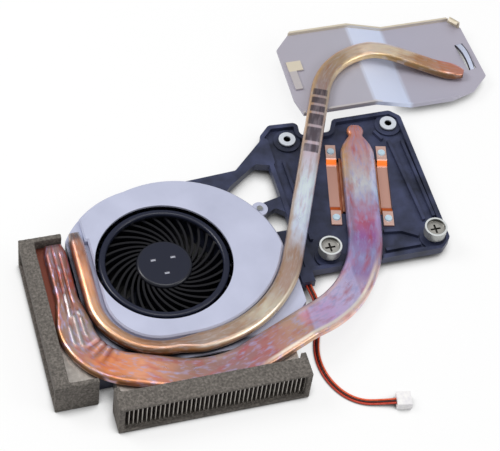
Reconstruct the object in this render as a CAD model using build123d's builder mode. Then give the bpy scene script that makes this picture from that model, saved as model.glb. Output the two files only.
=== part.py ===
from build123d import *
import os
from math import cos, log, pi, radians, sin, tan

os.makedirs("parts", exist_ok=True)

# A laptop cooler lying flat: millimetres, +Z up, origin on the fan's axis in the plane of its base,
# +X towards the processor bracket, +Y away from the front outlet.

# Levels
base_floor = 1.2            # floor of the fan chamber
seat_level = 9.6            # tops of the fin stacks and of the cover's flange, where the pipes lie
cover_rise = 2.4            # raised middle of the cover above its flange
sheet = 0.8                 # metal of the cover and the chipset plate
processor_drop = 5.0        # processor and chipset ends lie this much below the fan end
solder = 0.1                # solder line under each pipe

# Fan chamber in plan
chamber_centre = (4.5, -3.5)
scroll_gap = 11.8           # between the blade tips and the scroll's edge
shoulder_centre = (-2.0, -0.3)
shoulder_radius = 32.4      # fuller back left of the scroll
chamber_wall = 1.2
chamber_left = -30.1
chamber_front = -36.8
chamber_corner = [(34.5, chamber_front), (38.8, -27.4), (42.6, -23.6), (42.6, -12.0), (39.4, 6.0)]

# Cover
inlet_lap = 2.2             # the inlet's edge lies this far inside the blade tips
dome_inset = 0.6            # flange left round the raised middle
dome_clear = 0.4            # between the raised middle and the narrow pipe
dome_round = 0.6
ear_angle = 30.6            # place of the ear round the scroll
ear_reach = 1.5             # its middle stands this far outside the scroll's edge
ear_radius = 2.8
rivet_radius = 0.7
rivet_cap = (1.2, 0.5)      # radius and height of its head
rivet_slope = 20            # side slope of every rivet head, degrees
rivet_depth = 3.0

# Impeller
hub_radius = 9.45
hub_top = 10.6
hub_wall = 0.9
hub_round = 1.1
hub_mark = (1.6, 0.7, 0.2)  # length, width and depth of each moulded dash
hub_mark_radius = 3.9
blade_count = 31
blade_thick = 0.75
blade_lean = 44.0           # angle between a blade and the radius, constant along the blade
blade_bottom = 2.6
tip_radius = 25.2
tip_step = 22.2             # past this radius the blades are lower
blade_sink = 0.3            # blade root inside the hub's wall
shroud_inner = 19.6
shroud_outer = 21.8
shroud_top = 11.5
shroud_round = 0.7
under_cover = 0.8           # air between the blade tips and the cover's flange

# Motor
shaft_radius = 1.0
shaft_clear = 0.03
press_clear = 0.02
sleeve_radius = 2.3
boss_wall = 1.0
yoke_wall = 0.5
yoke_depth = 6.4
yoke_hole = 2.4
magnet_wall = 1.3
magnet_height = 4.4
hub_boss = 2.2
hub_boss_bottom = 8.4
shaft_roof = 0.6            # hub left above the shaft
shaft_end = 0.4             # shaft stops this much above the floor
air_gap = 0.4
core_bottom = 3.6
core_height = 2.8
pole_count = 4
pole_neck = 2.2
pole_shoe = 0.9
pole_slot = 1.6
core_ring = 0.5
coil_thick = 0.8
coil_inner = 3.9
coil_outer = 4.95
boss_extra = 0.6            # bearing boss above the core
board_thick = 0.7
board_radius = 8.6

# Fin stacks and their foam
fin_pitch = 1.45
fin_thick = 0.3
fin_skin = 0.4              # folded top and bottom flanges
front_fins = 42
left_fins = 39
fin_depth = 14.6
left_depth = 13.0
stack_gap = 1.4             # slot between the chamber and each stack
front_start = -26.0         # left end of the front stack
left_start = -40.4          # front end of the left stack
foam_under = 1.6
foam_over = 1.0             # foam above the front fins
foam_side = 1.8
foam_lip = 1.3              # foam stands past the fins' outer faces
foam_arm = 8.8              # how far back the side walls reach
foam_strip = 7.2            # depth of the front gasket's top strip
foam_clear = 0.3
fin_lip = 1.3               # the front fins stand up ahead of the wide pipe over this depth

# Pipes: flattened tubes
side_fold = 0.29            # each pipe's sides fold round over this share of its thickness
wide_width = 12.0
wide_thick = 2.8
wide_tail_width = 7.6
wide_tail_thick = 3.3
narrow_width = 7.0
narrow_thick = 3.4
narrow_tail_width = 5.0
narrow_tail_thick = 3.9
pipe_gap = 1.6              # open slot between the two tails
wide_tail_end = 13.8
narrow_tail_end = 17.0
pinch = 3.6                 # length of each pinched tail
pinched = (0.75, 0.45)      # what a pinched end keeps of the width and the thickness
narrow_tail_x = -26.9

# Wide pipe in plan
wide_front = (6.5, -47.5)
wide_front_radius = 36.0
wide_corner_y = -33.1
wide_corner_radius = 20.0
wide_taper_start = -18.5
wide_taper_end = -8.0
wide_flare = 2.0            # the wide run stands this far outside its tail
wide_bend_radius = 48.0
wide_slope = (41.2, 62.0)   # from the crease at the slope's top to the crease at its foot

# Narrow pipe in plan
narrow_corner_y = -33.1
narrow_corner_radius = 22.0
narrow_taper = (22.4, 29.4)     # past that corner, where the tail widens
narrow_turns = [(30.9, -33.2), (83.8, 85.6)]
narrow_radii = [43.0, 25.0]
chipset_slope = (97.0, 121.0)   # the pipe bridges the plate's step
chipset_end = (124.5, 65.4)
chipset_nose = 5.4
nose_pinched = (0.5, 0.6)

# Processor end
processor_centre = (76.4, 22.5)
processor_tilt = -13.0      # the pipe, strips and cold plate lean this far from +Y
processor_run = 46.0        # from that centre to the corner of the wide pipe's bend
pipe_past_centre = 12.0
shoulder = (4.4, 10.2)      # past the straight pipe, and its width there
shoulder_length = 8.6
neck_width = 5.2
neck_thick = 2.3
knob_radius = 3.1
knob_sink = 1.0             # the knob's rim lies this far inside the neck's end
knob_half = 1.25
cold_tuck = 0.3             # the cold plate's edges lie this far under the strips
cold_land = 13.2            # raised middle under the wide pipe
cold_past = 0.2             # the cold plate's ends lie this far past the strips' bends
cold_foot = 0.6             # contact face stands below the bracket
cold_clear = 0.4

# Processor bracket
bracket_bottom = 2.4
bracket_floor = 1.4
bracket_rim = 1.8
rim_width = 1.6
rib_width = 1.1
rib_height = 1.4
fixing_left = 56.8
fixing_right = 94.8
fixing_front = -4.4
fixing_rear = 46.7
boss_radius = 4.8
boss_height = 0.8
head_clear = 0.4            # room round each screw head as it is pressed down
pipe_channel = 0.5          # room beside the wide pipe where it crosses the rim
bracket_left = 47.4
bracket_front = -9.9
bracket_corners = [
    (bracket_left, bracket_front), (96.4, bracket_front), (100.2, -6.1), (100.2, 49.0), (96.9, 52.3),
    (75.2, 52.3), (72.8, 47.0), (61.8, 47.2), (62.5, 53.4), (51.8, 54.0), (bracket_left, 49.7)]
bracket_round = 2.0
bracket_ribs = [
    ((92.6, 39.5), (94.0, 3.4)), ((97.4, 38.6), (97.9, 4.2)), ((78.6, 1.4), (84.8, 0.6)),
    ((84.8, 0.6), (90.0, -2.6)), ((77.0, -6.2), (89.6, -6.2)), ((53.0, 38.0), (53.0, 3.0)),
    ((88.8, 44.6), (90.7, 40.5))]
lead_block = (4.6, 6.0)
lead_tip = -14.0            # the lead comes out of the leg's end here

# Rest of the casting in plan
arm_outline = [
    (50.0, 50.5), (35.0, 36.7), (14.0, 35.4), (10.0, 18.0), (24.0, 22.0), (31.2, 30.2), (42.6, 38.0),
    (49.6, 36.0)]
strut_outline = [
    (24.0, 6.0), (24.0, 12.0), (39.4, 21.2), (49.6, 23.6), (49.6, 14.4), (44.4, 18.6), (40.6, 16.4)]
web_outline = [
    (26.0, 8.6), (49.4, 8.6), (51.6, -9.0), (48.2, -10.4), (46.9, -14.0), (43.4, -14.0), (26.0, -6.0)]
casting_round = 1.4
strut_height = 2.6
outlet_inset = 5.0          # from the chamber's front left corner to each outlet
left_outlet = 38.0
front_outlet = 56.6
lower_inlet = 19.6
motor_seat = 10.8
spoke_width = 4.5

# Spring strips
strip_offset = 9.1
strip_width = 3.6
strip_thick = 0.5
strip_length = 35.0
strip_pad = 6.0
strip_joggle = 2.6
strip_rise = 1.3
strip_rivet = 0.9
rivet_head = 0.45
strip_rivet_head = 1.4
strip_shift = 0.4           # the strips' middle lies this far past the cold plate's

# Fixings
eyelet_radius = 3.0
eyelet_bore = 1.3
eyelet_wall = 0.7
eyelet_flange = 1.1
screw_head_radius = 3.9
screw_head_height = 2.8
screw_skirt = 1.6           # the head's wall hangs this far below the spring's seat
screw_skirt_bore = 3.0
screw_skirt_foot = 3.4
screw_skirt_slope = 0.9
screw_cup_radius = 3.2
screw_cup_depth = 1.3
screw_cross = (3.6, 0.7, 0.6)   # length, width and depth of the driver recess
screw_shank = 1.5
shank_clear = 0.2
screw_thread = 1.25
screw_tip = 0.15
screw_chamfer = 0.3
thread_top = 1.4
screw_lift = 3.4            # spring's length at rest
spring_wire = 0.5
spring_turns = 3.5
spring_radius = 2.3
spring_steps = 12           # straight pieces in a turn
spring_sides = 6
spring_end = 0.05           # between the spring's ends and their seats
clip_thick = 0.5
clip_radius = 2.9
clip_clear = 0.3
clip_gap = 1.8

# Chipset plate in plan
plate_front = 53.3
plate_back = 91.6
plate_step = (92.0, 106.4)      # from the crease at the step's top to the crease at its foot
plate_left_edge = [(64.6, plate_front), (63.0, 60.5), (63.4, 84.6), (70.1, plate_back)]
plate_right_edge = [(132.6, plate_back), (136.9, 86.4), (138.4, 62.1), (131.6, 55.9), (122.3, plate_front)]
plate_boss = [(64.8, 64.6), (67.6, 64.6), (67.6, 73.2), (70.2, 73.2), (70.2, 77.6), (64.8, 77.6)]
plate_boss_rise = 0.8
plate_slot = [(131.6, 78.5), (135.0, 78.9), (136.2, 66.4), (132.8, 65.6)]
plate_rim = 1.2
plate_gap = 0.2             # solder between the plate and the narrow pipe

# Fan lead: points chosen by hand along the middle wire
wire_diameter = 0.7
wire_pitch = 0.72
wire_sides = 8
lead_points = [
    (46.9, -11.2, 3.2), (47.1, -14.8, 3.1), (47.9, -18.6, 2.4), (47.9, -23.2, 1.5),
    (46.5, -28.2, 0.9), (44.1, -33.4, 0.6), (42.5, -39.0, 0.5), (42.4, -44.8, 0.5),
    (43.8, -50.6, 0.5), (47.0, -56.2, 0.5), (51.8, -60.0, 0.6), (57.8, -61.6, 1.1), (63.6, -62.6, 1.6)]
bend_share = 0.45           # part of the shorter run that each arc may take
lead_ease = 0.2             # room round the wires in the block and in the plug
plug_length = 4.8
plug_width = 5.0
plug_height = 3.2
plug_pocket = 1.0
contact_size = 0.6
contact_length = 2.0
contact_depth = 2.8
contact_clear = 0.1

# Worked-out levels and places
chamber_radius = tip_radius + scroll_gap
inlet_radius = tip_radius - inlet_lap
ear_distance = chamber_radius + ear_reach
ear_place = (chamber_centre[0] + ear_distance * cos(radians(ear_angle)),
             chamber_centre[1] + ear_distance * sin(radians(ear_angle)))
blade_top = hub_top - hub_round
flange_under = seat_level - sheet
cover_top = seat_level + cover_rise
low_seat = seat_level - processor_drop
bracket_top = bracket_bottom + bracket_floor
rim_top = bracket_top + bracket_rim
boss_top = bracket_top + boss_height
tilt_along = Vector(-sin(radians(processor_tilt)), cos(radians(processor_tilt)))
tilt_across = (cos(radians(processor_tilt)), sin(radians(processor_tilt)), 0)
fixings_front = [(fixing_left, fixing_front), (fixing_right, fixing_front)]
fixings_rear = [(fixing_left, fixing_rear), (fixing_right, fixing_rear)]
wide_high_z = seat_level + solder + wide_thick / 2
wide_low_z = wide_high_z - processor_drop
wide_top = wide_high_z + wide_thick / 2
foam_inside = wide_top + foam_clear
foam_top = foam_inside + foam_over
front_back_face = chamber_front - stack_gap
left_back_face = chamber_left - stack_gap
stack_height = seat_level - foam_under
front_length = (front_fins - 1) * fin_pitch + fin_thick
left_length = (left_fins - 1) * fin_pitch + fin_thick
front_foam_face = front_back_face - fin_depth - foam_lip
left_foam_face = left_back_face - left_depth - foam_lip
wide_tail_x = narrow_tail_x - narrow_tail_width / 2 - pipe_gap - wide_tail_width / 2
wide_run_x = wide_tail_x - wide_tail_width / 2 + wide_width / 2 - wide_flare
bend_corner = Vector(*processor_centre) - tilt_along * processor_run
pipe_end = Vector(*processor_centre) + tilt_along * pipe_past_centre
cold_width = 2 * strip_offset + strip_width - 2 * cold_tuck
strip_rivet_along = strip_length / 2 - strip_pad / 2
cold_length = strip_length - 2 * strip_pad + 2 * cold_past


def write(builder, name):
    builder.part.label = name
    export_step(builder.part, f"parts/{name}.step")


def level(height):
    return Plane.XY.offset(height)


def plan(point):
    # Plan place of a vector, for use on any level
    return (point.X, point.Y)


def processor_plane(height):
    # Flat plane at the processor, its X across the wide pipe and its Y along it
    return Plane(origin=(*processor_centre, height), x_dir=tilt_across, z_dir=(0, 0, 1))


def section_plane(path, place):
    # Upright plane across a pipe: X level across the pipe, Y up
    along = path % place
    return Plane(origin=path @ place, x_dir=(-along.Y, along.X, 0), z_dir=along)


def upright_plane(point, along):
    return Plane(origin=point, x_dir=(-along.Y, along.X, 0), z_dir=along)


def slope_plane(creases, height):
    # Plane that falls by the processor's drop between two creases square to X
    run = creases[1] - creases[0]
    return Plane(origin=(creases[0], 0, height), x_dir=(run, 0, -processor_drop),
                 z_dir=(processor_drop, 0, run))


def slope_points(creases, points):
    # Plan points as seen on that plane
    run = creases[1] - creases[0]
    stretch = (run**2 + processor_drop**2) ** 0.5 / run
    return [((x - creases[0]) * stretch, y) for x, y in points]


def tube_section(width, thick):
    # Flattened tube: flat top and bottom, each side in three flats
    with BuildSketch(mode=Mode.PRIVATE) as section:
        Rectangle(width, thick)
        chamfer(section.vertices(), side_fold * thick)
    return section.sketch


def rounded_outline(corners, radius):
    with BuildSketch(mode=Mode.PRIVATE) as outline:
        with BuildLine():
            FilletPolyline(*corners, radius=radius, close=True)
        make_face()
    return outline.sketch


def chamber_outline():
    # Round scroll joined to a straight-sided corner that meets both outlets
    with BuildSketch(mode=Mode.PRIVATE) as outline:
        with Locations(chamber_centre):
            Circle(chamber_radius)
        with Locations(shoulder_centre):
            Circle(shoulder_radius)
        with BuildLine():
            Polyline(
                (chamber_left, 0), (chamber_left, chamber_front), *chamber_corner, close=True)
        make_face()
        with Locations((chamber_left, chamber_front)):
            Rectangle(4 * chamber_radius, 4 * chamber_radius, align=(Align.MIN, Align.MIN),
                      mode=Mode.INTERSECT)
    return outline.sketch


def dome_outline():
    # Raised part of the cover: inside the flange's edge and inside the narrow pipe's sweep
    with BuildSketch(mode=Mode.PRIVATE) as outline:
        offset(chamber_outline(), -dome_inset)
        with Locations((narrow_tail_x + narrow_tail_width / 2 + dome_clear, 0)):
            Rectangle(4 * chamber_radius, 4 * chamber_radius, align=(Align.MIN, Align.CENTER),
                      mode=Mode.INTERSECT)
        trace(narrow_plan.line, narrow_width + 2 * dome_clear, mode=Mode.SUBTRACT)
    return outline.sketch.faces().sort_by(SortBy.AREA)[-1]


# Wide pipe: one plan line, swept level at the fan, sloping between the creases, level at the processor
wide_points = [(wide_run_x, wide_taper_start), (wide_run_x, wide_corner_y), wide_front, plan(bend_corner),
               plan(pipe_end)]
wide_radii = [wide_corner_radius, wide_front_radius, wide_bend_radius]
wide_tilted = slope_plane(wide_slope, wide_high_z)
with BuildLine(level(wide_high_z)) as wide_high:
    FilletPolyline(*wide_points, radius=wide_radii)
with BuildLine(wide_tilted) as wide_between:
    FilletPolyline(*slope_points(wide_slope, wide_points[2:]), radius=wide_radii[2:])
with BuildLine(level(wide_low_z)) as wide_low:
    FilletPolyline(*wide_points[2:], radius=wide_radii[2:])

with BuildPart() as wide_high_run:
    with BuildSketch(section_plane(wide_high.line, 0)):
        add(tube_section(wide_width, wide_thick))
    sweep(path=wide_high.line)
    split(bisect_by=Plane.YZ.offset(wide_slope[0]), keep=Keep.BOTTOM)

with BuildPart() as wide_slope_run:
    slope_along = wide_between.line % 0
    with BuildSketch(Plane(origin=wide_between.line @ 0, x_dir=wide_tilted.z_dir.cross(slope_along),
                           z_dir=slope_along)):
        add(tube_section(wide_width, wide_thick))
    sweep(path=wide_between.line)
    split(bisect_by=Plane.YZ.offset(wide_slope[0]), keep=Keep.TOP)
    split(bisect_by=Plane.YZ.offset(wide_slope[1]), keep=Keep.BOTTOM)

with BuildPart() as wide_low_run:
    with BuildSketch(section_plane(wide_low.line, 0)):
        add(tube_section(wide_width, wide_thick))
    sweep(path=wide_low.line)
    split(bisect_by=Plane.YZ.offset(wide_slope[1]), keep=Keep.TOP)

with BuildPart() as cpu_heat_pipe:
    add(wide_high_run.part)
    add(wide_slope_run.part)
    add(wide_low_run.part)
    # Shoulders, neck and sealed knob past the cold plate
    pipe_last = wide_low.line @ 1
    neck = pipe_last + tilt_along * shoulder_length
    shoulders = [(pipe_last, wide_width, wide_thick),
                 (pipe_last + tilt_along * shoulder[0], shoulder[1], wide_thick),
                 (neck, neck_width, neck_thick)]
    for pair in (shoulders[:2], shoulders[1:]):
        for place, width, thick in pair:
            with BuildSketch(upright_plane(place, tilt_along)):
                add(tube_section(width, thick))
        loft(ruled=True)
    knob = neck + tilt_along * (knob_radius - knob_sink)
    knob_rim = knob_radius - knob_half
    with BuildSketch(Plane(origin=knob, x_dir=(1, 0, 0), z_dir=(0, -1, 0))):
        with BuildLine():
            Polyline((0, -knob_half), (knob_rim, -knob_half), (knob_radius, 0), (knob_rim, knob_half),
                     (0, knob_half), close=True)
        make_face()
    revolve(axis=Axis(knob, (0, 0, 1)))
    # Rounder, narrower tail on the left fin stack, pinched shut at its end
    wide_tail_z = seat_level + solder + wide_tail_thick / 2
    tail_plane = Plane(origin=(wide_tail_x, wide_taper_end, wide_tail_z),
                       x_dir=(1, 0, 0), z_dir=(0, 1, 0))
    tail_run = wide_tail_end - pinch - wide_taper_end
    with BuildSketch(Plane(origin=wide_high.line @ 0, x_dir=(1, 0, 0), z_dir=(0, 1, 0))):
        add(tube_section(wide_width, wide_thick))
    with BuildSketch(tail_plane):
        add(tube_section(wide_tail_width, wide_tail_thick))
    loft(ruled=True)
    with BuildSketch(tail_plane):
        add(tube_section(wide_tail_width, wide_tail_thick))
    extrude(amount=tail_run)
    with BuildSketch(tail_plane.offset(tail_run)):
        add(tube_section(wide_tail_width, wide_tail_thick))
    with BuildSketch(tail_plane.offset(tail_run + pinch)):
        add(tube_section(wide_tail_width * pinched[0], wide_tail_thick * pinched[1]))
    loft(ruled=True)
write(cpu_heat_pipe, "cpu_heat_pipe")

# Narrow pipe: round tail beside the wide pipe's, then flatter round the cover and over the bracket
narrow_z = seat_level + solder + narrow_thick / 2
narrow_tail_z = seat_level + solder + narrow_tail_thick / 2
narrow_corner = Vector(narrow_tail_x, narrow_corner_y)
narrow_along = (Vector(*narrow_turns[0]) - narrow_corner).normalized()
tail_last = narrow_corner + narrow_along * narrow_taper[0]
run_first = narrow_corner + narrow_along * narrow_taper[1]
narrow_points = [plan(run_first), *narrow_turns, chipset_end]
narrow_tilted = slope_plane(chipset_slope, narrow_z)
tail_first = (narrow_tail_x, narrow_tail_end - pinch)
with BuildLine() as narrow_plan:
    FilletPolyline(tail_first, plan(narrow_corner), *narrow_turns, chipset_end,
                   radius=[narrow_corner_radius, *narrow_radii])
with BuildLine(level(narrow_tail_z)) as narrow_tail:
    FilletPolyline(tail_first, plan(narrow_corner), plan(tail_last), radius=[narrow_corner_radius])
with BuildLine(level(narrow_z)) as narrow_high:
    FilletPolyline(*narrow_points, radius=narrow_radii)
with BuildLine(narrow_tilted) as narrow_between:
    FilletPolyline(*slope_points(chipset_slope, narrow_points[1:]), radius=narrow_radii[1:])
with BuildLine(level(narrow_z - processor_drop)) as narrow_low:
    FilletPolyline(*narrow_points[1:], radius=narrow_radii[1:])

with BuildPart() as narrow_high_run:
    with BuildSketch(section_plane(narrow_high.line, 0)):
        add(tube_section(narrow_width, narrow_thick))
    sweep(path=narrow_high.line)
    split(bisect_by=Plane.YZ.offset(chipset_slope[0]), keep=Keep.BOTTOM)

with BuildPart() as narrow_slope_run:
    slope_along = narrow_between.line % 0
    with BuildSketch(Plane(origin=narrow_between.line @ 0, x_dir=narrow_tilted.z_dir.cross(slope_along),
                           z_dir=slope_along)):
        add(tube_section(narrow_width, narrow_thick))
    sweep(path=narrow_between.line)
    split(bisect_by=Plane.YZ.offset(chipset_slope[0]), keep=Keep.TOP)
    split(bisect_by=Plane.YZ.offset(chipset_slope[1]), keep=Keep.BOTTOM)

with BuildPart() as narrow_low_run:
    with BuildSketch(section_plane(narrow_low.line, 0)):
        add(tube_section(narrow_width, narrow_thick))
    sweep(path=narrow_low.line)
    split(bisect_by=Plane.YZ.offset(chipset_slope[1]), keep=Keep.TOP)

with BuildPart() as chipset_heat_pipe:
    add(narrow_high_run.part)
    add(narrow_slope_run.part)
    add(narrow_low_run.part)
    # Pinched nose at the chipset
    nose = narrow_low.line @ 1 + (narrow_low.line % 1) * chipset_nose
    with BuildSketch(section_plane(narrow_low.line, 1)):
        add(tube_section(narrow_width, narrow_thick))
    with BuildSketch(upright_plane(nose, narrow_low.line % 1)):
        add(tube_section(narrow_width * nose_pinched[0], narrow_thick * nose_pinched[1]))
    loft(ruled=True)
    # Tail, its widening into the flatter run, and its pinched end
    with BuildSketch(section_plane(narrow_tail.line, 0)):
        add(tube_section(narrow_tail_width, narrow_tail_thick))
    sweep(path=narrow_tail.line)
    with BuildSketch(section_plane(narrow_tail.line, 1)):
        add(tube_section(narrow_tail_width, narrow_tail_thick))
    with BuildSketch(section_plane(narrow_high.line, 0)):
        add(tube_section(narrow_width, narrow_thick))
    loft(ruled=True)
    tail_face = Plane(origin=narrow_tail.line @ 0, x_dir=(1, 0, 0), z_dir=(0, 1, 0))
    with BuildSketch(tail_face):
        add(tube_section(narrow_tail_width, narrow_tail_thick))
    with BuildSketch(tail_face.offset(pinch)):
        add(tube_section(narrow_tail_width * pinched[0], narrow_tail_thick * pinched[1]))
    loft(ruled=True)
write(chipset_heat_pipe, "chipset_heat_pipe")

# One casting: fan tray with its scroll wall, arms and struts, and the processor bracket
def bracket_outline():
    return rounded_outline(bracket_corners, bracket_round)


boss_bore = sleeve_radius + press_clear
core_bore = boss_bore + boss_wall + press_clear
boss_high = core_bottom + core_height + boss_extra
lead_slot = 2 * wire_pitch + wire_diameter + 2 * lead_ease
lead_slot_high = wire_diameter + 2 * lead_ease

with BuildPart() as die_cast_frame:
    # Tray floor and scroll wall
    with BuildSketch():
        add(chamber_outline())
    extrude(amount=base_floor)
    with BuildSketch(level(base_floor)):
        add(chamber_outline())
        offset(chamber_outline(), -chamber_wall, mode=Mode.SUBTRACT)
    extrude(amount=flange_under - base_floor)
    # Both outlets and the lower inlet, cut round three spokes
    with BuildSketch(level(base_floor)):
        with Locations((chamber_left, chamber_front + outlet_inset)):
            Rectangle(2 * chamber_wall, left_outlet, align=(Align.CENTER, Align.MIN))
        with Locations((chamber_left + outlet_inset, chamber_front)):
            Rectangle(front_outlet, 2 * chamber_wall, align=(Align.MIN, Align.CENTER))
    extrude(amount=flange_under, mode=Mode.SUBTRACT)
    with BuildSketch():
        Circle(lower_inlet)
        Circle(motor_seat, mode=Mode.SUBTRACT)
        with PolarLocations(lower_inlet / 2, 3, start_angle=90):
            Rectangle(lower_inlet, spoke_width, mode=Mode.SUBTRACT)
    extrude(amount=base_floor, mode=Mode.SUBTRACT)
    # Bearing boss, and the post under the cover's ear
    with BuildSketch(level(base_floor)):
        Circle(boss_bore + boss_wall)
        Circle(boss_bore, mode=Mode.SUBTRACT)
    extrude(amount=boss_high - base_floor)
    with BuildSketch(level(bracket_bottom)):
        with Locations(ear_place):
            Circle(ear_radius)
        offset(chamber_outline(), -chamber_wall, mode=Mode.SUBTRACT)
    extrude(amount=flange_under - bracket_bottom)
    with BuildSketch(level(flange_under - rivet_depth)):
        with Locations(ear_place):
            Circle(rivet_radius + press_clear)
    extrude(amount=rivet_depth, mode=Mode.SUBTRACT)
    # Bracket floor and rim
    with BuildSketch(level(bracket_bottom)):
        add(bracket_outline())
    extrude(amount=bracket_floor)
    with BuildSketch(level(bracket_top)):
        add(bracket_outline())
        offset(bracket_outline(), -rim_width, kind=Kind.INTERSECTION, mode=Mode.SUBTRACT)
    extrude(amount=bracket_rim)
    # Long arm from the back of the scroll to the bracket's rear corner
    with BuildSketch(level(bracket_bottom)):
        add(rounded_outline(arm_outline, casting_round))
        offset(chamber_outline(), -chamber_wall, mode=Mode.SUBTRACT)
    extrude(amount=rim_top - bracket_bottom)
    # Short strut and the web that joins the chamber's right side to the bracket
    with BuildSketch(level(bracket_bottom)):
        add(rounded_outline(strut_outline, casting_round))
        add(rounded_outline(web_outline, casting_round))
        offset(chamber_outline(), -chamber_wall, mode=Mode.SUBTRACT)
    extrude(amount=strut_height)
    # Bosses for the fixings and the ribs of the bracket's floor
    with BuildSketch(level(bracket_top)):
        with Locations(*fixings_front, *fixings_rear):
            Circle(boss_radius)
    extrude(amount=boss_height)
    with BuildSketch(level(bracket_top)):
        for start, end in bracket_ribs:
            with BuildLine():
                Line(start, end)
            trace(line_width=rib_width)
    extrude(amount=rib_height)
    # Room for the screw heads as they are pressed down
    with BuildSketch(level(boss_top)):
        with Locations(*fixings_front):
            Circle(screw_head_radius + head_clear)
    extrude(amount=seat_level, mode=Mode.SUBTRACT)
    # Block that the fan lead comes out of
    with BuildSketch(level(bracket_bottom)):
        with Locations((lead_points[0][0], lead_tip)):
            Rectangle(*lead_block, align=(Align.CENTER, Align.MIN))
    extrude(amount=rim_top - bracket_bottom)
    lead_mouth = Plane(origin=(lead_points[0][0], lead_tip, lead_points[0][2]),
                       x_dir=(1, 0, 0), z_dir=(0, -1, 0))
    with BuildSketch(lead_mouth):
        SlotOverall(lead_slot, lead_slot_high)
    extrude(amount=lead_tip - lead_points[0][1] - lead_ease, mode=Mode.SUBTRACT)
    # Window for the cold plate, the fixing and rivet holes, and room for the wide pipe over the rim
    with BuildSketch(processor_plane(0)):
        Rectangle(cold_width + 2 * cold_clear, cold_length + 2 * cold_clear)
        with Locations((0, strip_shift)):
            with GridLocations(2 * strip_offset, 2 * strip_rivet_along, 2, 2):
                Circle(strip_rivet + press_clear)
    extrude(amount=seat_level, mode=Mode.SUBTRACT)
    with BuildSketch():
        with Locations(*fixings_front):
            Circle(screw_shank + shank_clear)
        with Locations(*fixings_rear):
            Circle(eyelet_bore + eyelet_wall + press_clear)
    extrude(amount=seat_level, mode=Mode.SUBTRACT)
    with BuildSketch(level(low_seat - solder)):
        trace(wide_low.line.moved(Location((0, 0, -wide_low_z))), wide_width + 2 * pipe_channel)
        with Locations((bracket_left, 0)):
            Rectangle(fixing_right, 2 * fixing_right, align=(Align.MIN, Align.CENTER), mode=Mode.INTERSECT)
    extrude(amount=seat_level, mode=Mode.SUBTRACT)
write(die_cast_frame, "die_cast_frame")

# Sheet cover: flange at the pipes' level, raised middle with the inlet
with BuildPart() as fan_cover:
    with BuildSketch(level(seat_level)):
        add(dome_outline())
    extrude(amount=cover_rise)
    chamfer(fan_cover.edges().group_by(Axis.Z)[-1], dome_round)
    with BuildSketch(level(flange_under)):
        add(chamber_outline())
        with Locations(ear_place):
            Circle(ear_radius)
    extrude(amount=sheet)
    with BuildSketch(level(flange_under)):
        offset(dome_outline(), -sheet)
    extrude(amount=cover_top - sheet - flange_under, mode=Mode.SUBTRACT)
    with BuildSketch(level(flange_under)):
        Circle(inlet_radius)
        with Locations(ear_place):
            Circle(rivet_radius + press_clear)
    extrude(amount=cover_top - flange_under, mode=Mode.SUBTRACT)
write(fan_cover, "fan_cover")

with BuildPart() as cover_rivet:
    with BuildSketch(level(flange_under - rivet_depth)):
        with Locations(ear_place):
            Circle(rivet_radius)
    extrude(amount=rivet_depth + sheet)
    with BuildSketch(level(seat_level)):
        with Locations(ear_place):
            Circle(rivet_cap[0])
    extrude(amount=rivet_cap[1], taper=rivet_slope)
write(cover_rivet, "cover_rivet")


# Impeller and what turns with it
def blade_point(radius):
    # Spiral that keeps one angle to the radius
    turn = tan(radians(blade_lean)) * log(radius / hub_radius)
    return (radius * cos(turn), radius * sin(turn))


def blade_outline():
    with BuildSketch(mode=Mode.PRIVATE) as outline:
        with BuildLine():
            root = hub_radius - blade_sink
            ThreePointArc(blade_point(root), blade_point((root + tip_radius) / 2), blade_point(tip_radius))
        trace(line_width=blade_thick)
    return outline.sketch


cup_radius = hub_radius - hub_wall
cup_top = hub_top - hub_wall
shaft_hole = shaft_radius + press_clear
shaft_top = hub_top - shaft_roof
hub_edge = hub_round * (1 - cos(radians(45)))

with BuildPart() as impeller:
    with BuildSketch(Plane.XZ):
        with BuildLine():
            Polyline(
                (hub_radius - hub_round, hub_top), (0, hub_top), (0, shaft_top), (shaft_hole, shaft_top),
                (shaft_hole, hub_boss_bottom), (hub_boss, hub_boss_bottom), (hub_boss, cup_top),
                (cup_radius, cup_top), (cup_radius, blade_bottom), (hub_radius, blade_bottom),
                (hub_radius, blade_top), (hub_radius - hub_edge, hub_top - hub_edge), close=True)
        make_face()
    revolve(axis=Axis.Z)
    with BuildSketch(level(blade_bottom)):
        with PolarLocations(0, blade_count):
            add(blade_outline())
    extrude(amount=blade_top - blade_bottom)
    # Lower tips, under the cover's flange
    with BuildSketch(level(flange_under - under_cover)):
        Circle(tip_radius + blade_thick)
        Circle(tip_step, mode=Mode.SUBTRACT)
    extrude(amount=blade_top, mode=Mode.SUBTRACT)
    # Ring over the blades, its top edges broken, and three dashes moulded in the hub
    with BuildSketch(Plane.XZ):
        with BuildLine():
            Polyline(
                (shroud_inner, blade_top), (shroud_outer, blade_top), (shroud_outer, shroud_top - shroud_round),
                (shroud_outer - shroud_round, shroud_top), (shroud_inner + shroud_round, shroud_top),
                (shroud_inner, shroud_top - shroud_round), close=True)
        make_face()
    revolve(axis=Axis.Z)
    with BuildSketch(level(hub_top - hub_mark[2])):
        with PolarLocations(hub_mark_radius, 3, start_angle=30, rotate=False):
            Rectangle(hub_mark[0], hub_mark[1])
    extrude(amount=hub_mark[2], mode=Mode.SUBTRACT)
write(impeller, "impeller")

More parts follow.
